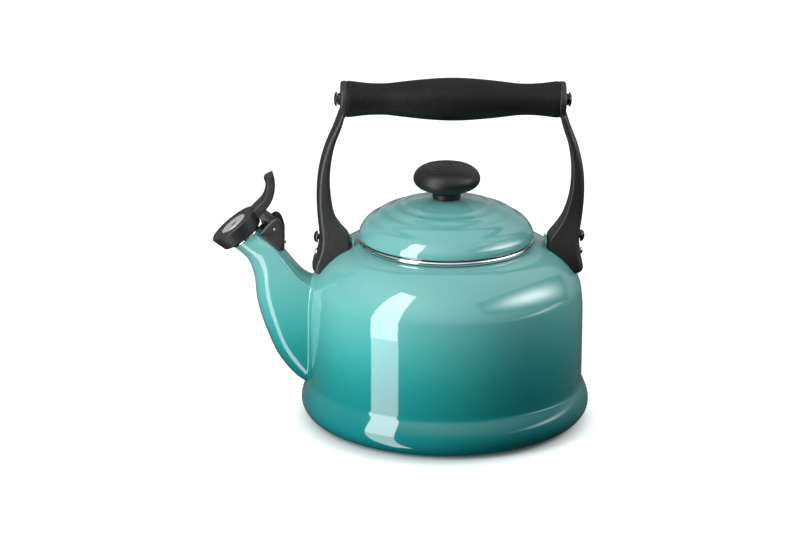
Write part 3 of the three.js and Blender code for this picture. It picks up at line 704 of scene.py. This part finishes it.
def make_skirt():
    """The steel ring under the lid that drops into the opening."""
    profile = rounded([
        (SKIRT_R - 0.8, SKIRT_Z), (SKIRT_R, SKIRT_Z), (SKIRT_R, RIM_TOP + 0.3, 0.8),
        (57, RIM_TOP + 0.3, 0.3), (57, LID_Z - 0.3, 0.3), (SKIRT_R - 0.8, LID_Z - 0.3, 0.8),
        (SKIRT_R - 0.8, SKIRT_Z),
    ])
    skirt = mesh_piece("lid_skirt_ring", *turned(profile), POLISHED, "lid", "stainless")
    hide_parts("lid_skirt")


KNOB_CROWN_R = 16.3              # edge of the low crown on top


def knob_top(r):
    """Top of the knob: a low crown with three raised rings."""
    crown = KNOB_TOP_Z - 1.2 * (r / KNOB_CROWN_R) ** 2
    return crown + sum(0.4 * bump_at(r, at, 0.9) for at in (4.6, 9.2, 13.8))


def make_knob():
    """The turned knob: a short neck, a rounded bun and a low crown."""
    foot = LID_CROWN_Z + 0.3
    under = arc(13, KNOB_WIDEST_Z, KNOB_R - 13, 7.2, -78, 0, 14)
    over = arc(10, KNOB_WIDEST_Z, KNOB_R - 10, 9.25, 0, 60, 12)[1:]
    top = [KNOB_CROWN_R * (1 - i / 44) for i in range(1, 45)]
    neck = rounded([(0, foot), (9.6, foot, 0.5), (9.6, foot + 4, 1.2), under[0]], 5)
    profile = neck + under[1:] + over + [(r, knob_top(r)) for r in top]
    knob = mesh_piece("knob_body", *turned(profile), PHENOLIC_KNOB_SHADED, "lid", "phenolic", sharp=60)
    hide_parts("knob")


# ------------------------ handle

# Stations up one arm: height, outer face and inner face, as distances from the handle's middle.
ARM_STATIONS = [
    (110, 91.6, 65.8), (118, 88.8, 66), (126.5, 87.8, 66.8), (133, 88.3, 71.2), (141, 89.3, 76),
    (156, 90.2, 80.4), (173, 89.2, 81.2), (190, 85.2, 78.7), (204, 79.6, 74), (214, 76, 71.6),
]


def arm_half_width(z):
    """Half the arm's width along Y: broad at the foot, a little wider again at the grip."""
    return 7.4 + 5.8 * (1 - smoothstep(z, 110, 150)) + 2.2 * smoothstep(z, 196, 214)


def arm_ring(z, outer, inner, half):
    """Section of the arm: well rounded towards the outer face, less so towards the inner one."""
    out_x, out_y, in_x, in_y = 3.4, 0.7 * half, 1.6, 0.4 * half
    quarter = [(outer, i / 3 * (half - out_y)) for i in range(3)]
    quarter += arc(outer - out_x, half - out_y, out_x, out_y, 0, 90, 8)
    quarter += [(outer - out_x + (inner + in_x - outer + out_x) * i / 5, half) for i in range(1, 5)]
    quarter += arc(inner + in_x, half - in_y, in_x, in_y, 90, 180, 6)
    quarter += [(inner, (half - in_y) * (1 - i / 3)) for i in range(1, 3)]
    mirrored = [(x, -y) for x, y in quarter[1:]][::-1]
    return [Vector((x, y, z)) for x, y in quarter + [(inner, 0)] + mirrored]


# The rounded toe: height above its end, outer face, half width.
TOE_STATIONS = [(0, 88.6, 10.8), (0.6, 90.6, 12), (1.6, 91.7, 12.8), (3.2, 92.4, 13.2)]
TOE_INNER = 65.8


def arm_form(toe_z, shorter, slimmer):
    """An arm from its toe up, with a shorter toe or a slimmer instep where asked."""
    rings = [arm_ring(toe_z + rise, outer - shorter, TOE_INNER, half)
             for rise, outer, half in TOE_STATIONS]
    for i in range(61):
        z, outer, inner = spline(ARM_STATIONS, i / 60)
        toe = 1 - smoothstep(z, 108, 120)
        instep = bump_at(z, 137, 13)
        rings.append(arm_ring(z, outer - shorter * toe, inner + slimmer * instep, arm_half_width(z)))
    return skinned(rings)


def eye_form():
    """The round end of an arm that carries the grip, slightly dished on its face."""
    start = GRIP_HALF + 0.1
    profile = rounded([
        (0, start), (EYE_R, start, 0.3), (EYE_R, EYE_FACE_X, 1.7), (EYE_R - 3, EYE_FACE_X, 0.8),
        (6.5, EYE_FACE_X - 0.5, 1), (0, EYE_FACE_X - 0.5),
    ])
    return placed(along_x(turned(profile, 96)), Matrix.Translation((0, 0, GRIP_Z)))


def handle_frame():
    """The handle's own frame: it stands a little rearwards of upright, with its grip almost level."""
    lean = Matrix.Identity(4)
    lean[0][2] = math.tan(LEAN)
    there = Matrix.Translation((HANDLE_SHIFT, 0, HANDLE_PIVOT_Z))
    back = Matrix.Translation((0, 0, -HANDLE_PIVOT_Z))
    return there @ lean @ Matrix.Rotation(TILT, 4, "Y") @ back


def body_envelope(grow):
    """The body as a solid, grown all round."""
    line = offset(body_line() + [(0, MOUTH_Z)], -grow)
    line[0] = (0, -grow)
    line[-1] = (0, MOUTH_Z + grow)
    return turned(line, 96)


def dome(radius, seat, rise, base, shank):
    """A domed head along +X with a short collar, from its seat outwards."""
    return along_x(turned(rounded([(0, base), (shank, base), (shank, seat, 0.2)])
                          + rounded([(radius - 0.6, seat), (radius, seat, 0.3), (radius, seat + 0.5)])
                          + arc(0, seat + 0.5, radius, rise - 0.5, 8, 90, 10), 48))


def ring_x(bore, radius, low, high):
    """A collar round the X axis."""
    return along_x(turned(rounded([
        (bore, low), (radius, low, 0.3), (radius, high, 0.4), (bore, high), (bore, low)]), 64))


def make_handle_end(end, turn, foot):
    """Everything on one end of the handle: the arm with its foot, and its screws."""
    frame_here = handle_frame() @ Matrix.Rotation(turn, 4, "Z")
    level = math.cos(turn) * 90 * math.sin(TILT)
    shape = placed(joined(arm_form(**foot), eye_form()), frame_here)
    arm = mesh_piece(f"arm_{end}_moulding", *shape, PHENOLIC, "kettle", "phenolic")
    fuse(arm, 0.55, 3)
    cut(arm, body_envelope(0.35))
    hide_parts(f"arm_{end}")
    at_grip = frame_here @ Matrix.Translation((0, 0, GRIP_Z))
    at_screw = frame_here @ Matrix.Translation((0, 0, FOOT_SCREW_Z + level))
    at_rivet = frame_here @ Matrix.Translation((0, 0, FOOT_RIVET_Z + level))
    screw = mesh_piece(f"grip_screw_{end}_dome",
                       *placed(dome(4.9, EYE_FACE_X + 2.2, 2, EYE_FACE_X - 3, 2.4), at_grip),
                       SCREW_BLACK, "kettle", "black_screw")
    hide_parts(f"grip_screw_{end}")
    washer = mesh_piece(f"grip_washer_{end}_collar",
                        *placed(ring_x(2.8, 4, EYE_FACE_X - 0.4, EYE_FACE_X + 1.9), at_grip),
                        PHENOLIC, "kettle", "phenolic")
    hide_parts(f"grip_washer_{end}")
    screw = mesh_piece(f"foot_screw_{end}_dome", *placed(dome(4, 88.7, 3, 78, 1.9), at_screw),
                       SCREW_BLACK, "kettle", "black_screw")
    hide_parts(f"foot_screw_{end}")
    rivet = mesh_piece(f"foot_rivet_{end}_ball", *placed(dome(2.3, 89.2, 1.7, 82, 1.4), at_rivet),
                       PLATED, "kettle", "plated_steel")
    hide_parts(f"foot_rivet_{end}")


def make_lug(end, turn):
    """The enamelled lug that shows at the inner end of each foot."""
    half, top = 8.4, 126.6
    line = rounded([(-half, 104), (-half, top, 4.5), (half, top, 4.5), (half, 104)], 6)
    plate = placed(prism(line, -65.7, -64.5), Matrix.Rotation(math.pi / 2, 4, "Z"))
    web = prism(rounded([(82.6, 106), (82.6, 129), (80.8, 129.6), (80.8, 114.4), (76, 118.9),
                         (68, 123.5), (65.4, 124.6), (65.4, 108)]), -5, 5)
    frame_here = handle_frame() @ Matrix.Rotation(turn, 4, "Z")
    lug = mesh_piece(f"lug_{end}_plate", *placed(joined(plate, web), frame_here),
                     ENAMEL, "kettle", "enamel")
    cut(lug, body_envelope(-0.4), overlapping=True)
    bevel_edges(lug, 0.4)
    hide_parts(f"lug_{end}")


def make_grip():
    """The turned grip, thickest in its middle, with a small lip at each end."""
    half = [(71, 11.95), (70.85, 12.1), (69.4, 12.2), (65, 11.7), (59, 11), (52, 10.6), (44, 10.7),
            (36, 11.6), (26, 12.75), (17, 13.6), (8, 14.2), (0, 14.4)]
    knots = [(x, r, 0) for x, r in half] + [(-x, r, 0) for x, r in half[-2::-1]]
    line = [spline(knots, i / 110) for i in range(111)]
    profile = [(0, GRIP_HALF)] + [(p.y, p.x) for p in line] + [(0, -GRIP_HALF)]
    shape = placed(along_x(turned(profile, 96)), handle_frame() @ Matrix.Translation((0, 0, GRIP_Z)))
    grip = mesh_piece("grip_moulding", *shape, PHENOLIC_GRIP_SHADED, "kettle", "phenolic", sharp=50)
    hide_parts("grip")


def make_handle():
    make_handle_end("rear", 0.0, {"toe_z": 103, "shorter": 1.2, "slimmer": 0})
    make_handle_end("front", math.pi, {"toe_z": 102.3, "shorter": 0, "slimmer": 2})
    make_lug("rear", 0.0)
    make_lug("front", math.pi)
    make_grip()


# ------------------------ whistle


def make_cap_disc():
    """The round cap: a thin raised rim round its face and a softly tapered underside."""
    profile = rounded([
        (8.6, -CAP_DEPTH + 1.4), (8.6, -1.6), (10.3, -1.6, 0.2), (10.3, -0.4, 0.3), (11.2, -0.4),
        (15.7, -0.4, 0.5), (16.2, 0, 0.3), (17.2, 0, 0.5), (CAP_R, -0.8, 0.6),
        (15.4, 0.6 - CAP_DEPTH, 0.6), (14.6, -CAP_DEPTH, 0.4), (10.1, -CAP_DEPTH),
        (10.1, -CAP_DEPTH + 1.4), (8.6, -CAP_DEPTH + 1.4),
    ])
    disc = mesh_piece("whistle_cap_disc", *placed(turned(profile, 128), at_cap()),
                      PHENOLIC, "whistle", "phenolic")
    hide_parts("whistle_cap")


def make_whistle_plates():
    """The outer aluminium plate, and the inner one that shows through its hole, near black as painted
    shade inside the whistle.
    """
    plates = (("outer", -0.3, 0.35, ALUMINIUM), ("inner", 1.3 - CAP_DEPTH, 0.0, PAINTED_SHADE_ALUMINIUM))
    for node, top, dish, finish in plates:
        profile = rounded([
            (2, top - dish - 0.25), (6, top - dish - 0.25), (7, top - 0.9), (9.6, top - 0.9),
            (9.6, top, 0.4), (7, top, 2), (5.5, top - dish, 2), (2, top - dish, 0.1),
            (2, top - dish - 0.25),
        ])
        plate = mesh_piece(f"whistle_plate_{node}_disc", *placed(turned(profile, 96), at_cap()),
                           finish, "whistle", "aluminium")
        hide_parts(f"whistle_plate_{node}")


# The lever from its root on the cap to its tip: thumb face and back (x, z), and its chamfer.
LEVER_STATIONS = [
    ((-134, 143.6), (-128.4, 140.2), 2.6), ((-131.4, 147.6), (-125.6, 142.6), 2.6),
    ((-128.2, 151), (-122.4, 146), 2.6), ((-125.4, 153.8), (-119.8, 149.2), 2.4),
    ((-123.4, 156.8), (-117.4, 153.6), 2), ((-122.2, 160.4), (-116, 158.4), 1.6),
    ((-121.9, 164.2), (-115.5, 163.4), 1.8), ((-122.6, 167.2), (-116.4, 168.2), 2.4),
    ((-123.2, 168.6), (-117.2, 171.4), 2.6),
]
LEVER_HALF = 6.0
MOULD_EDGE = 50.0                # edges sharper than this are rounded, in degrees


def lever_ring(t):
    """Section of the lever: a flat thumb face with a broad chamfer to each side."""
    face = spline([(x, 0, z) for (x, z), _, _ in LEVER_STATIONS], t)
    back = spline([(x, 0, z) for _, (x, z), _ in LEVER_STATIONS], t)
    chamfer = spline([(c, 0, 0) for _, _, c in LEVER_STATIONS], t).x
    out = (face - back).normalized()
    thick = (face - back).length
    corner = rounded([
        (thick, 0), (thick, LEVER_HALF - chamfer, 0.8), (thick - 0.8 * chamfer, LEVER_HALF, 0.8),
        (0.4, LEVER_HALF, 0.6), (0, LEVER_HALF - 1, 0.6), (0, 0),
    ], 4)
    section = corner + [(x, -y) for x, y in corner[-2:0:-1]]
    return [back + out * x + Vector((0, y, 0)) for x, y in section]


def make_lever():
    """The thumb lever, the tongue to the pin, the hub round the pin and the stop."""
    rings = [lever_ring(i / 48) for i in range(49)]
    blade = mesh_piece("whistle_lever_blade", *skinned(rings), PHENOLIC, "whistle", "phenolic")
    bevel_edges(blade, 0.5, MOULD_EDGE)
    tongue = rounded([(-129, 141.6), (-125.4, 146.4), (-123.4, 146.4), (-117.4, 141.8, 2),
                      (-113.4, 137, 1.5), (-113.4, 134), (-118.6, 133, 1), (-120, 138, 1.5)], 5)
    hub = placed(turned([(1.4, -5.4), (3.3, -5.4), (3.3, 2), (1.4, 2), (1.4, -5.4)], 40),
                 Matrix.Translation((PIN_X, 0, PIN_Z)) @ Matrix.Rotation(-math.pi / 2, 4, "X"))
    arm = mesh_piece("whistle_tongue", *prism(tongue, -5.4, 2), PHENOLIC, "whistle", "phenolic")
    bevel_edges(arm, 0.5, MOULD_EDGE)
    eye = mesh_piece("whistle_hub", *hub, PHENOLIC, "whistle", "phenolic")
    bevel_edges(eye, 0.3, MOULD_EDGE)
    stop = mesh_piece("whistle_stop", *prism(rounded([
        (-124.6, 142), (-125.2, 137.4, 1.4), (-123.4, 135.4, 1.4), (-122, 137, 1.4), (-121.2, 140)]),
        -3, 3), PHENOLIC, "whistle", "phenolic")
    bevel_edges(stop, 0.4, MOULD_EDGE)


# Leaf outline of one ear, as (x, z): rounded at the pin, pointed down the spout.
EAR_KNOTS = [
    (-126.6, 130.6), (-124.2, 133.9), (-119.9, 138.8), (-117.8, 140.8), (-115.2, 142.1),
    (-112.7, 141.2), (-110.5, 137.4), (-109.1, 131.6), (-109.3, 126.2), (-110, 122.2),
    (-111.9, 119.2), (-113.6, 118.9), (-115.8, 120.8), (-120, 124.7), (-124.3, 128.5),
]


def ear_outline(steps=90):
    """The ear's outline as a smooth closed line."""
    count = len(EAR_KNOTS)
    knots = [(x, z, 0) for x, z in EAR_KNOTS[-1:] + EAR_KNOTS + EAR_KNOTS[:2]]
    places = [(1 + count * i / steps) / (count + 2) for i in range(steps)]
    return [tuple(spline(knots, place).xy) for place in places]


def inset(line, distance):
    """A closed outline drawn in by a distance."""
    count = len(line)
    middle = sum((Vector(p) for p in line), Vector((0, 0))) / count
    moved = []
    for i, point in enumerate(line):
        run = Vector(line[(i + 1) % count]) - Vector(line[i - 1])
        inward = Vector((-run.y, run.x)).normalized()
        if inward.dot(middle - Vector(point)) < 0:
            inward = -inward
        moved.append(tuple(Vector(point) + inward * distance))
    return moved


def make_ear(name, side):
    """An ear with a well rounded border on its outer side."""
    outline = ear_outline()
    levels = [(0.3, 6.8), (0, 7.1), (0, 7.7), (0.12, 8.2), (0.4, 8.65), (0.8, 8.95), (1.3, 9.12),
              (1.8, 9.2), (2.1, 9.2)]
    rings = [[Vector((x, side * y, z)) for x, z in inset(outline, depth)] for depth, y in levels]
    return mesh_piece(name, *skinned(rings), PHENOLIC, "kettle", "phenolic", sharp=60)


def make_housing():
    """The bracket: two ears joined by a web."""
    near = make_ear("whistle_ear_near", -1)
    make_ear("whistle_ear_far", 1)
    web = mesh_piece("whistle_bracket_web", *prism(rounded([
        (-114.6, 125.2), (-112.6, 128.4, 1.5), (-109.9, 128, 1.5), (-109.2, 121), (-110.6, 118.4)]),
        -7, 7), PHENOLIC, "kettle", "phenolic")
    bevel_edges(web, 0.4, MOULD_EDGE)
    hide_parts("whistle_housing")


def make_pin():
    pin = placed(turned(rounded([(0, -9.28), (0.8, -9.28, 0.3), (0.8, 9.28, 0.3), (0, 9.28)]), 32),
                 Matrix.Translation((PIN_X, 0, PIN_Z)) @ Matrix.Rotation(-math.pi / 2, 4, "X"))
    piece = mesh_piece("whistle_pin_rod", *pin, PLATED, "kettle", "plated_steel")
    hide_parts("whistle_pin")


# ------------------------ nodes kept from the CAD

KEPT_NODES = {
    "whistle_lug": ENAMEL, "whistle_spring": SPRING, "whistle_housing_screw": PLATED,
    "knob_insert": BRASS, "knob_screw": PLATED, "knob_washer": PLATED,
    "grip_insert_rear": BRASS, "grip_insert_front": BRASS,
    "foot_nut_rear": PLATED, "foot_nut_front": PLATED,
}


def finish_kept_nodes():
    for name, material in KEPT_NODES.items():
        node = frame["nodes"][name]
        for slot in node.material_slots:
            slot.material = material


# ------------------------ studio


def sky_direction(azimuth, elevation):
    """Unit vector from the kettle. Azimuth 0 is towards the viewer (-Y), 90 towards +X."""
    a, e = math.radians(azimuth), math.radians(elevation)
    return Vector((math.sin(a) * math.cos(e), -math.cos(a) * math.cos(e), math.sin(e)))


# The camera: a long lens, a little above the kettle and to its left. Degrees, metres and mm.
CAMERA_AZIMUTH, CAMERA_ELEVATION, CAMERA_ROLL = -2.0, 17.62, 0.3
CAMERA_AIM, CAMERA_DISTANCE = Vector((-31.15, 1.1, 104.5)) * MM, 2.5
LENS, SENSOR = 165.96, 36


def make_camera():
    data = bpy.data.cameras.new("camera")
    data.sensor_width = SENSOR
    data.lens = LENS
    data.clip_start, data.clip_end = 0.1, 60
    camera = bpy.data.objects.new("camera", data)
    bpy.context.scene.collection.objects.link(camera)
    back = sky_direction(CAMERA_AZIMUTH, CAMERA_ELEVATION)
    right = Vector((0, 0, 1)).cross(back).normalized()
    up = back.cross(right)
    roll = Matrix.Rotation(math.radians(CAMERA_ROLL), 3, "Z")
    axes = Matrix((right, up, back)).transposed() @ roll
    place = CAMERA_AIM + back * CAMERA_DISTANCE
    camera.matrix_world = Matrix.Translation(place) @ axes.to_4x4()
    bpy.context.scene.camera = camera


# The tall softbox on the left, and its mirror image in the table. Metres and degrees.
STRIP_TARGET, STRIP_AZIMUTH, STRIP_DISTANCE = (-0.041, -0.084), -55, 0.35
STRIP_WIDTH, STRIP_HEIGHT = 0.173, 0.75


def make_panel(name, low, high, radiance):
    """The part of the tall softbox between two heights."""
    data = bpy.data.lights.new(name, "AREA")
    data.shape = "RECTANGLE"
    data.size, data.size_y = STRIP_WIDTH, high - low
    data.energy = radiance * math.pi * STRIP_WIDTH * (high - low)
    panel = bpy.data.objects.new(name, data)
    bpy.context.scene.collection.objects.link(panel)
    away = sky_direction(STRIP_AZIMUTH, 0)
    panel.rotation_euler = away.to_track_quat("Z", "Y").to_euler()
    panel.location = Vector((*STRIP_TARGET, (low + high) / 2)) + away * STRIP_DISTANCE
    panel.visible_camera = False


def flat_square(name, half, z, material):
    """A horizontal square in metres, for the studio only."""
    corners = [(-half, -half, z), (half, -half, z), (half, half, z), (-half, half, z)]
    mesh = bpy.data.meshes.new(name)
    mesh.from_pydata(corners, [], [[0, 1, 2, 3]])
    mesh.materials.append(material)
    square = bpy.data.objects.new(name, mesh)
    bpy.context.scene.collection.objects.link(square)
    return square


# Far soft lights: azimuth, elevation, half width, half height, roll (all degrees) and strength.
SOFT_LIGHTS = [
    (180, 8, 40, 9, 0, 0.35),      # low behind the kettle
    (-38, 40, 35, 24, 0, 0.7),     # fill from the front, on the left
    (125, 28, 40, 30, 0, 0.6),     # fill from the right, behind
    (-125, 24, 35, 25, 0, 0.3),    # fill from the left, behind
    (140, -16, 24, 16, 0, 0.06),   # bright table on the right, behind
    (-150, -16, 30, 16, 0, 0.12),  # bright table on the left, behind
    (84, 7.5, 21, 2.4, -4, 4.2),   # low strip on the right, mirrored in the bulge
    (66, 42, 9, 7, 0, 5.0),        # small high light, mirrored along the spout's edge
]
OVERHEAD = Vector((0.12, -0.2, 1))   # the sky is brightest here
OVERHEAD_RAMP = {"From Min": 0.2, "From Max": 0.9, "To Max": 0.95}
LAMP_PLACE = Vector((0.31, -0.09, 0.28))
LAMP_TARGET = Vector((0.05, -0.07, 0.107))
LAMP_AXIS = Vector((0.1, 0.308, -0.122))
LAMP_HALF_WIDTH, LAMP_HALF_LENGTH = 0.09, 0.34
LAMP_RADIANCE, LAMP_FALLOFF = 10.0, 4.0
# The floor glows more away from this point, leaving a painted shadow round the kettle's base: from
# and to distances, and the glow at each. Metres.
SHADE_CENTRE = (-0.002, -0.011, 0.0)
SHADE_RAMP = {"From Min": 0.08, "From Max": 0.115, "To Min": 0.02, "To Max": 0.7}


def make_floor():
    """A pale floor that glows brighter away from the kettle: a painted shadow round its base, tinted
    teal-grey as painted bounce light from the kettle.
    """
    shader = Shader("floor_painted_shadow", roughness=0.6, Emission_Color=(1, 1, 1, 1))
    # Teal-grey floor colour: painted bounce light from the kettle within the painted shadow; further
    # off the glow makes the floor white.
    stops = [(0.3, (0.47, 0.52, 0.515)), (0.7, (0.5, 0.55, 0.545))]
    color = shader.ramp(shader.noise(900.0), stops)
    shader.feed("Base Color", color)
    inputs = {0: shader.place(), 1: SHADE_CENTRE}
    away = shader.node("ShaderNodeVectorMath", inputs, operation="DISTANCE")
    inputs = {"Value": away.outputs["Value"], **SHADE_RAMP}
    glow = shader.node("ShaderNodeMapRange", inputs, interpolation_type="SMOOTHSTEP")
    shader.feed("Emission Strength", glow.outputs["Result"])
    floor = flat_square("floor", 30, 0, shader.material)
    floor.visible_diffuse = False
    floor.visible_glossy = False
    floor.visible_shadow = False


def math_node(tree, operation, *values):
    inputs = dict(enumerate(values))
    return add_node(tree, "ShaderNodeMath", inputs, operation=operation).outputs[0]


def dot_node(tree, vector, other):
    inputs = {0: vector, 1: other}
    node = add_node(tree, "ShaderNodeVectorMath", inputs, operation="DOT_PRODUCT")
    return node.outputs["Value"]


def make_lamp():
    """A long soft lamp close by on the right, brightest in its middle. Metres."""
    material = bpy.data.materials.new("lamp_glow")
    material.use_nodes = True
    tree = material.node_tree
    tree.nodes.clear()
    place = add_node(tree, "ShaderNodeTexCoord").outputs["Object"]
    fade = math_node(tree, "MULTIPLY", dot_node(tree, place, place), -LAMP_FALLOFF)
    glow = math_node(tree, "MULTIPLY", math_node(tree, "EXPONENT", fade), LAMP_RADIANCE)
    emission = add_node(tree, "ShaderNodeEmission", {"Strength": glow}).outputs["Emission"]
    add_node(tree, "ShaderNodeOutputMaterial", {"Surface": emission})
    lamp = flat_square("lamp", 1, 0, material)
    facing = (LAMP_PLACE - LAMP_TARGET).normalized()
    along = (LAMP_AXIS - facing * LAMP_AXIS.dot(facing)).normalized()
    turn = Matrix((along.cross(facing), along, facing)).transposed().to_4x4()
    size = Matrix.Diagonal((LAMP_HALF_WIDTH, LAMP_HALF_LENGTH, 1, 1))
    lamp.matrix_world = Matrix.Translation(LAMP_PLACE) @ turn @ size
    lamp.visible_camera = False


def sky_lobe(tree, ray, azimuth, elevation, wide, tall, roll, strength):
    """A soft oval of light: its half sizes and its roll in degrees."""
    forward = sky_direction(azimuth, elevation)
    across = Matrix.Rotation(math.radians(roll), 3, forward) @ Vector((0, 0, 1)).cross(forward)
    upward = forward.cross(across)
    x_reach = dot_node(tree, ray, across.normalized())
    y_reach = dot_node(tree, ray, upward.normalized())
    x = math_node(tree, "DIVIDE", x_reach, math.sin(math.radians(wide)))
    y = math_node(tree, "DIVIDE", y_reach, math.sin(math.radians(tall)))
    squares = (math_node(tree, "MULTIPLY", v, v) for v in (x, y))
    spread = math_node(tree, "ADD", *squares)
    glow = math_node(tree, "EXPONENT", math_node(tree, "MULTIPLY", spread, -1.0))
    front = math_node(tree, "GREATER_THAN", dot_node(tree, ray, forward), 0.0)
    return math_node(tree, "MULTIPLY", math_node(tree, "MULTIPLY", glow, front), strength)


def make_world():
    """A dark room that is bright overhead, with faint glows round the kettle."""
    world = bpy.data.worlds.new("studio")
    bpy.context.scene.world = world
    world.use_nodes = True
    tree = world.node_tree
    ray = add_node(tree, "ShaderNodeTexCoord").outputs["Generated"]
    rise = dot_node(tree, ray, OVERHEAD.normalized())
    inputs = {"Value": rise, **OVERHEAD_RAMP}
    above = add_node(tree, "ShaderNodeMapRange", inputs, interpolation_type="SMOOTHSTEP")
    total = above.outputs["Result"]
    for glow in SOFT_LIGHTS:
        total = math_node(tree, "ADD", total, sky_lobe(tree, ray, *glow))
    background = tree.nodes["Background"]
    background.inputs["Color"].default_value = (1, 1, 1, 1)
    tree.links.new(total, background.inputs["Strength"])


def make_studio():
    bpy.context.scene.view_settings.view_transform = "Standard"
    make_camera()
    make_floor()
    make_world()
    make_lamp()
    make_panel("strip_softbox", 0, STRIP_HEIGHT, 9.3)
    make_panel("strip_softbox_in_table", -STRIP_HEIGHT, 0, 5.5)


make_studio()
make_body()
make_opening_rim()
make_spout()
make_spout_bead()
make_lid()
make_skirt()
make_knob()
make_handle()
make_cap_disc()
make_whistle_plates()
make_lever()
make_housing()
make_pin()
finish_kept_nodes()
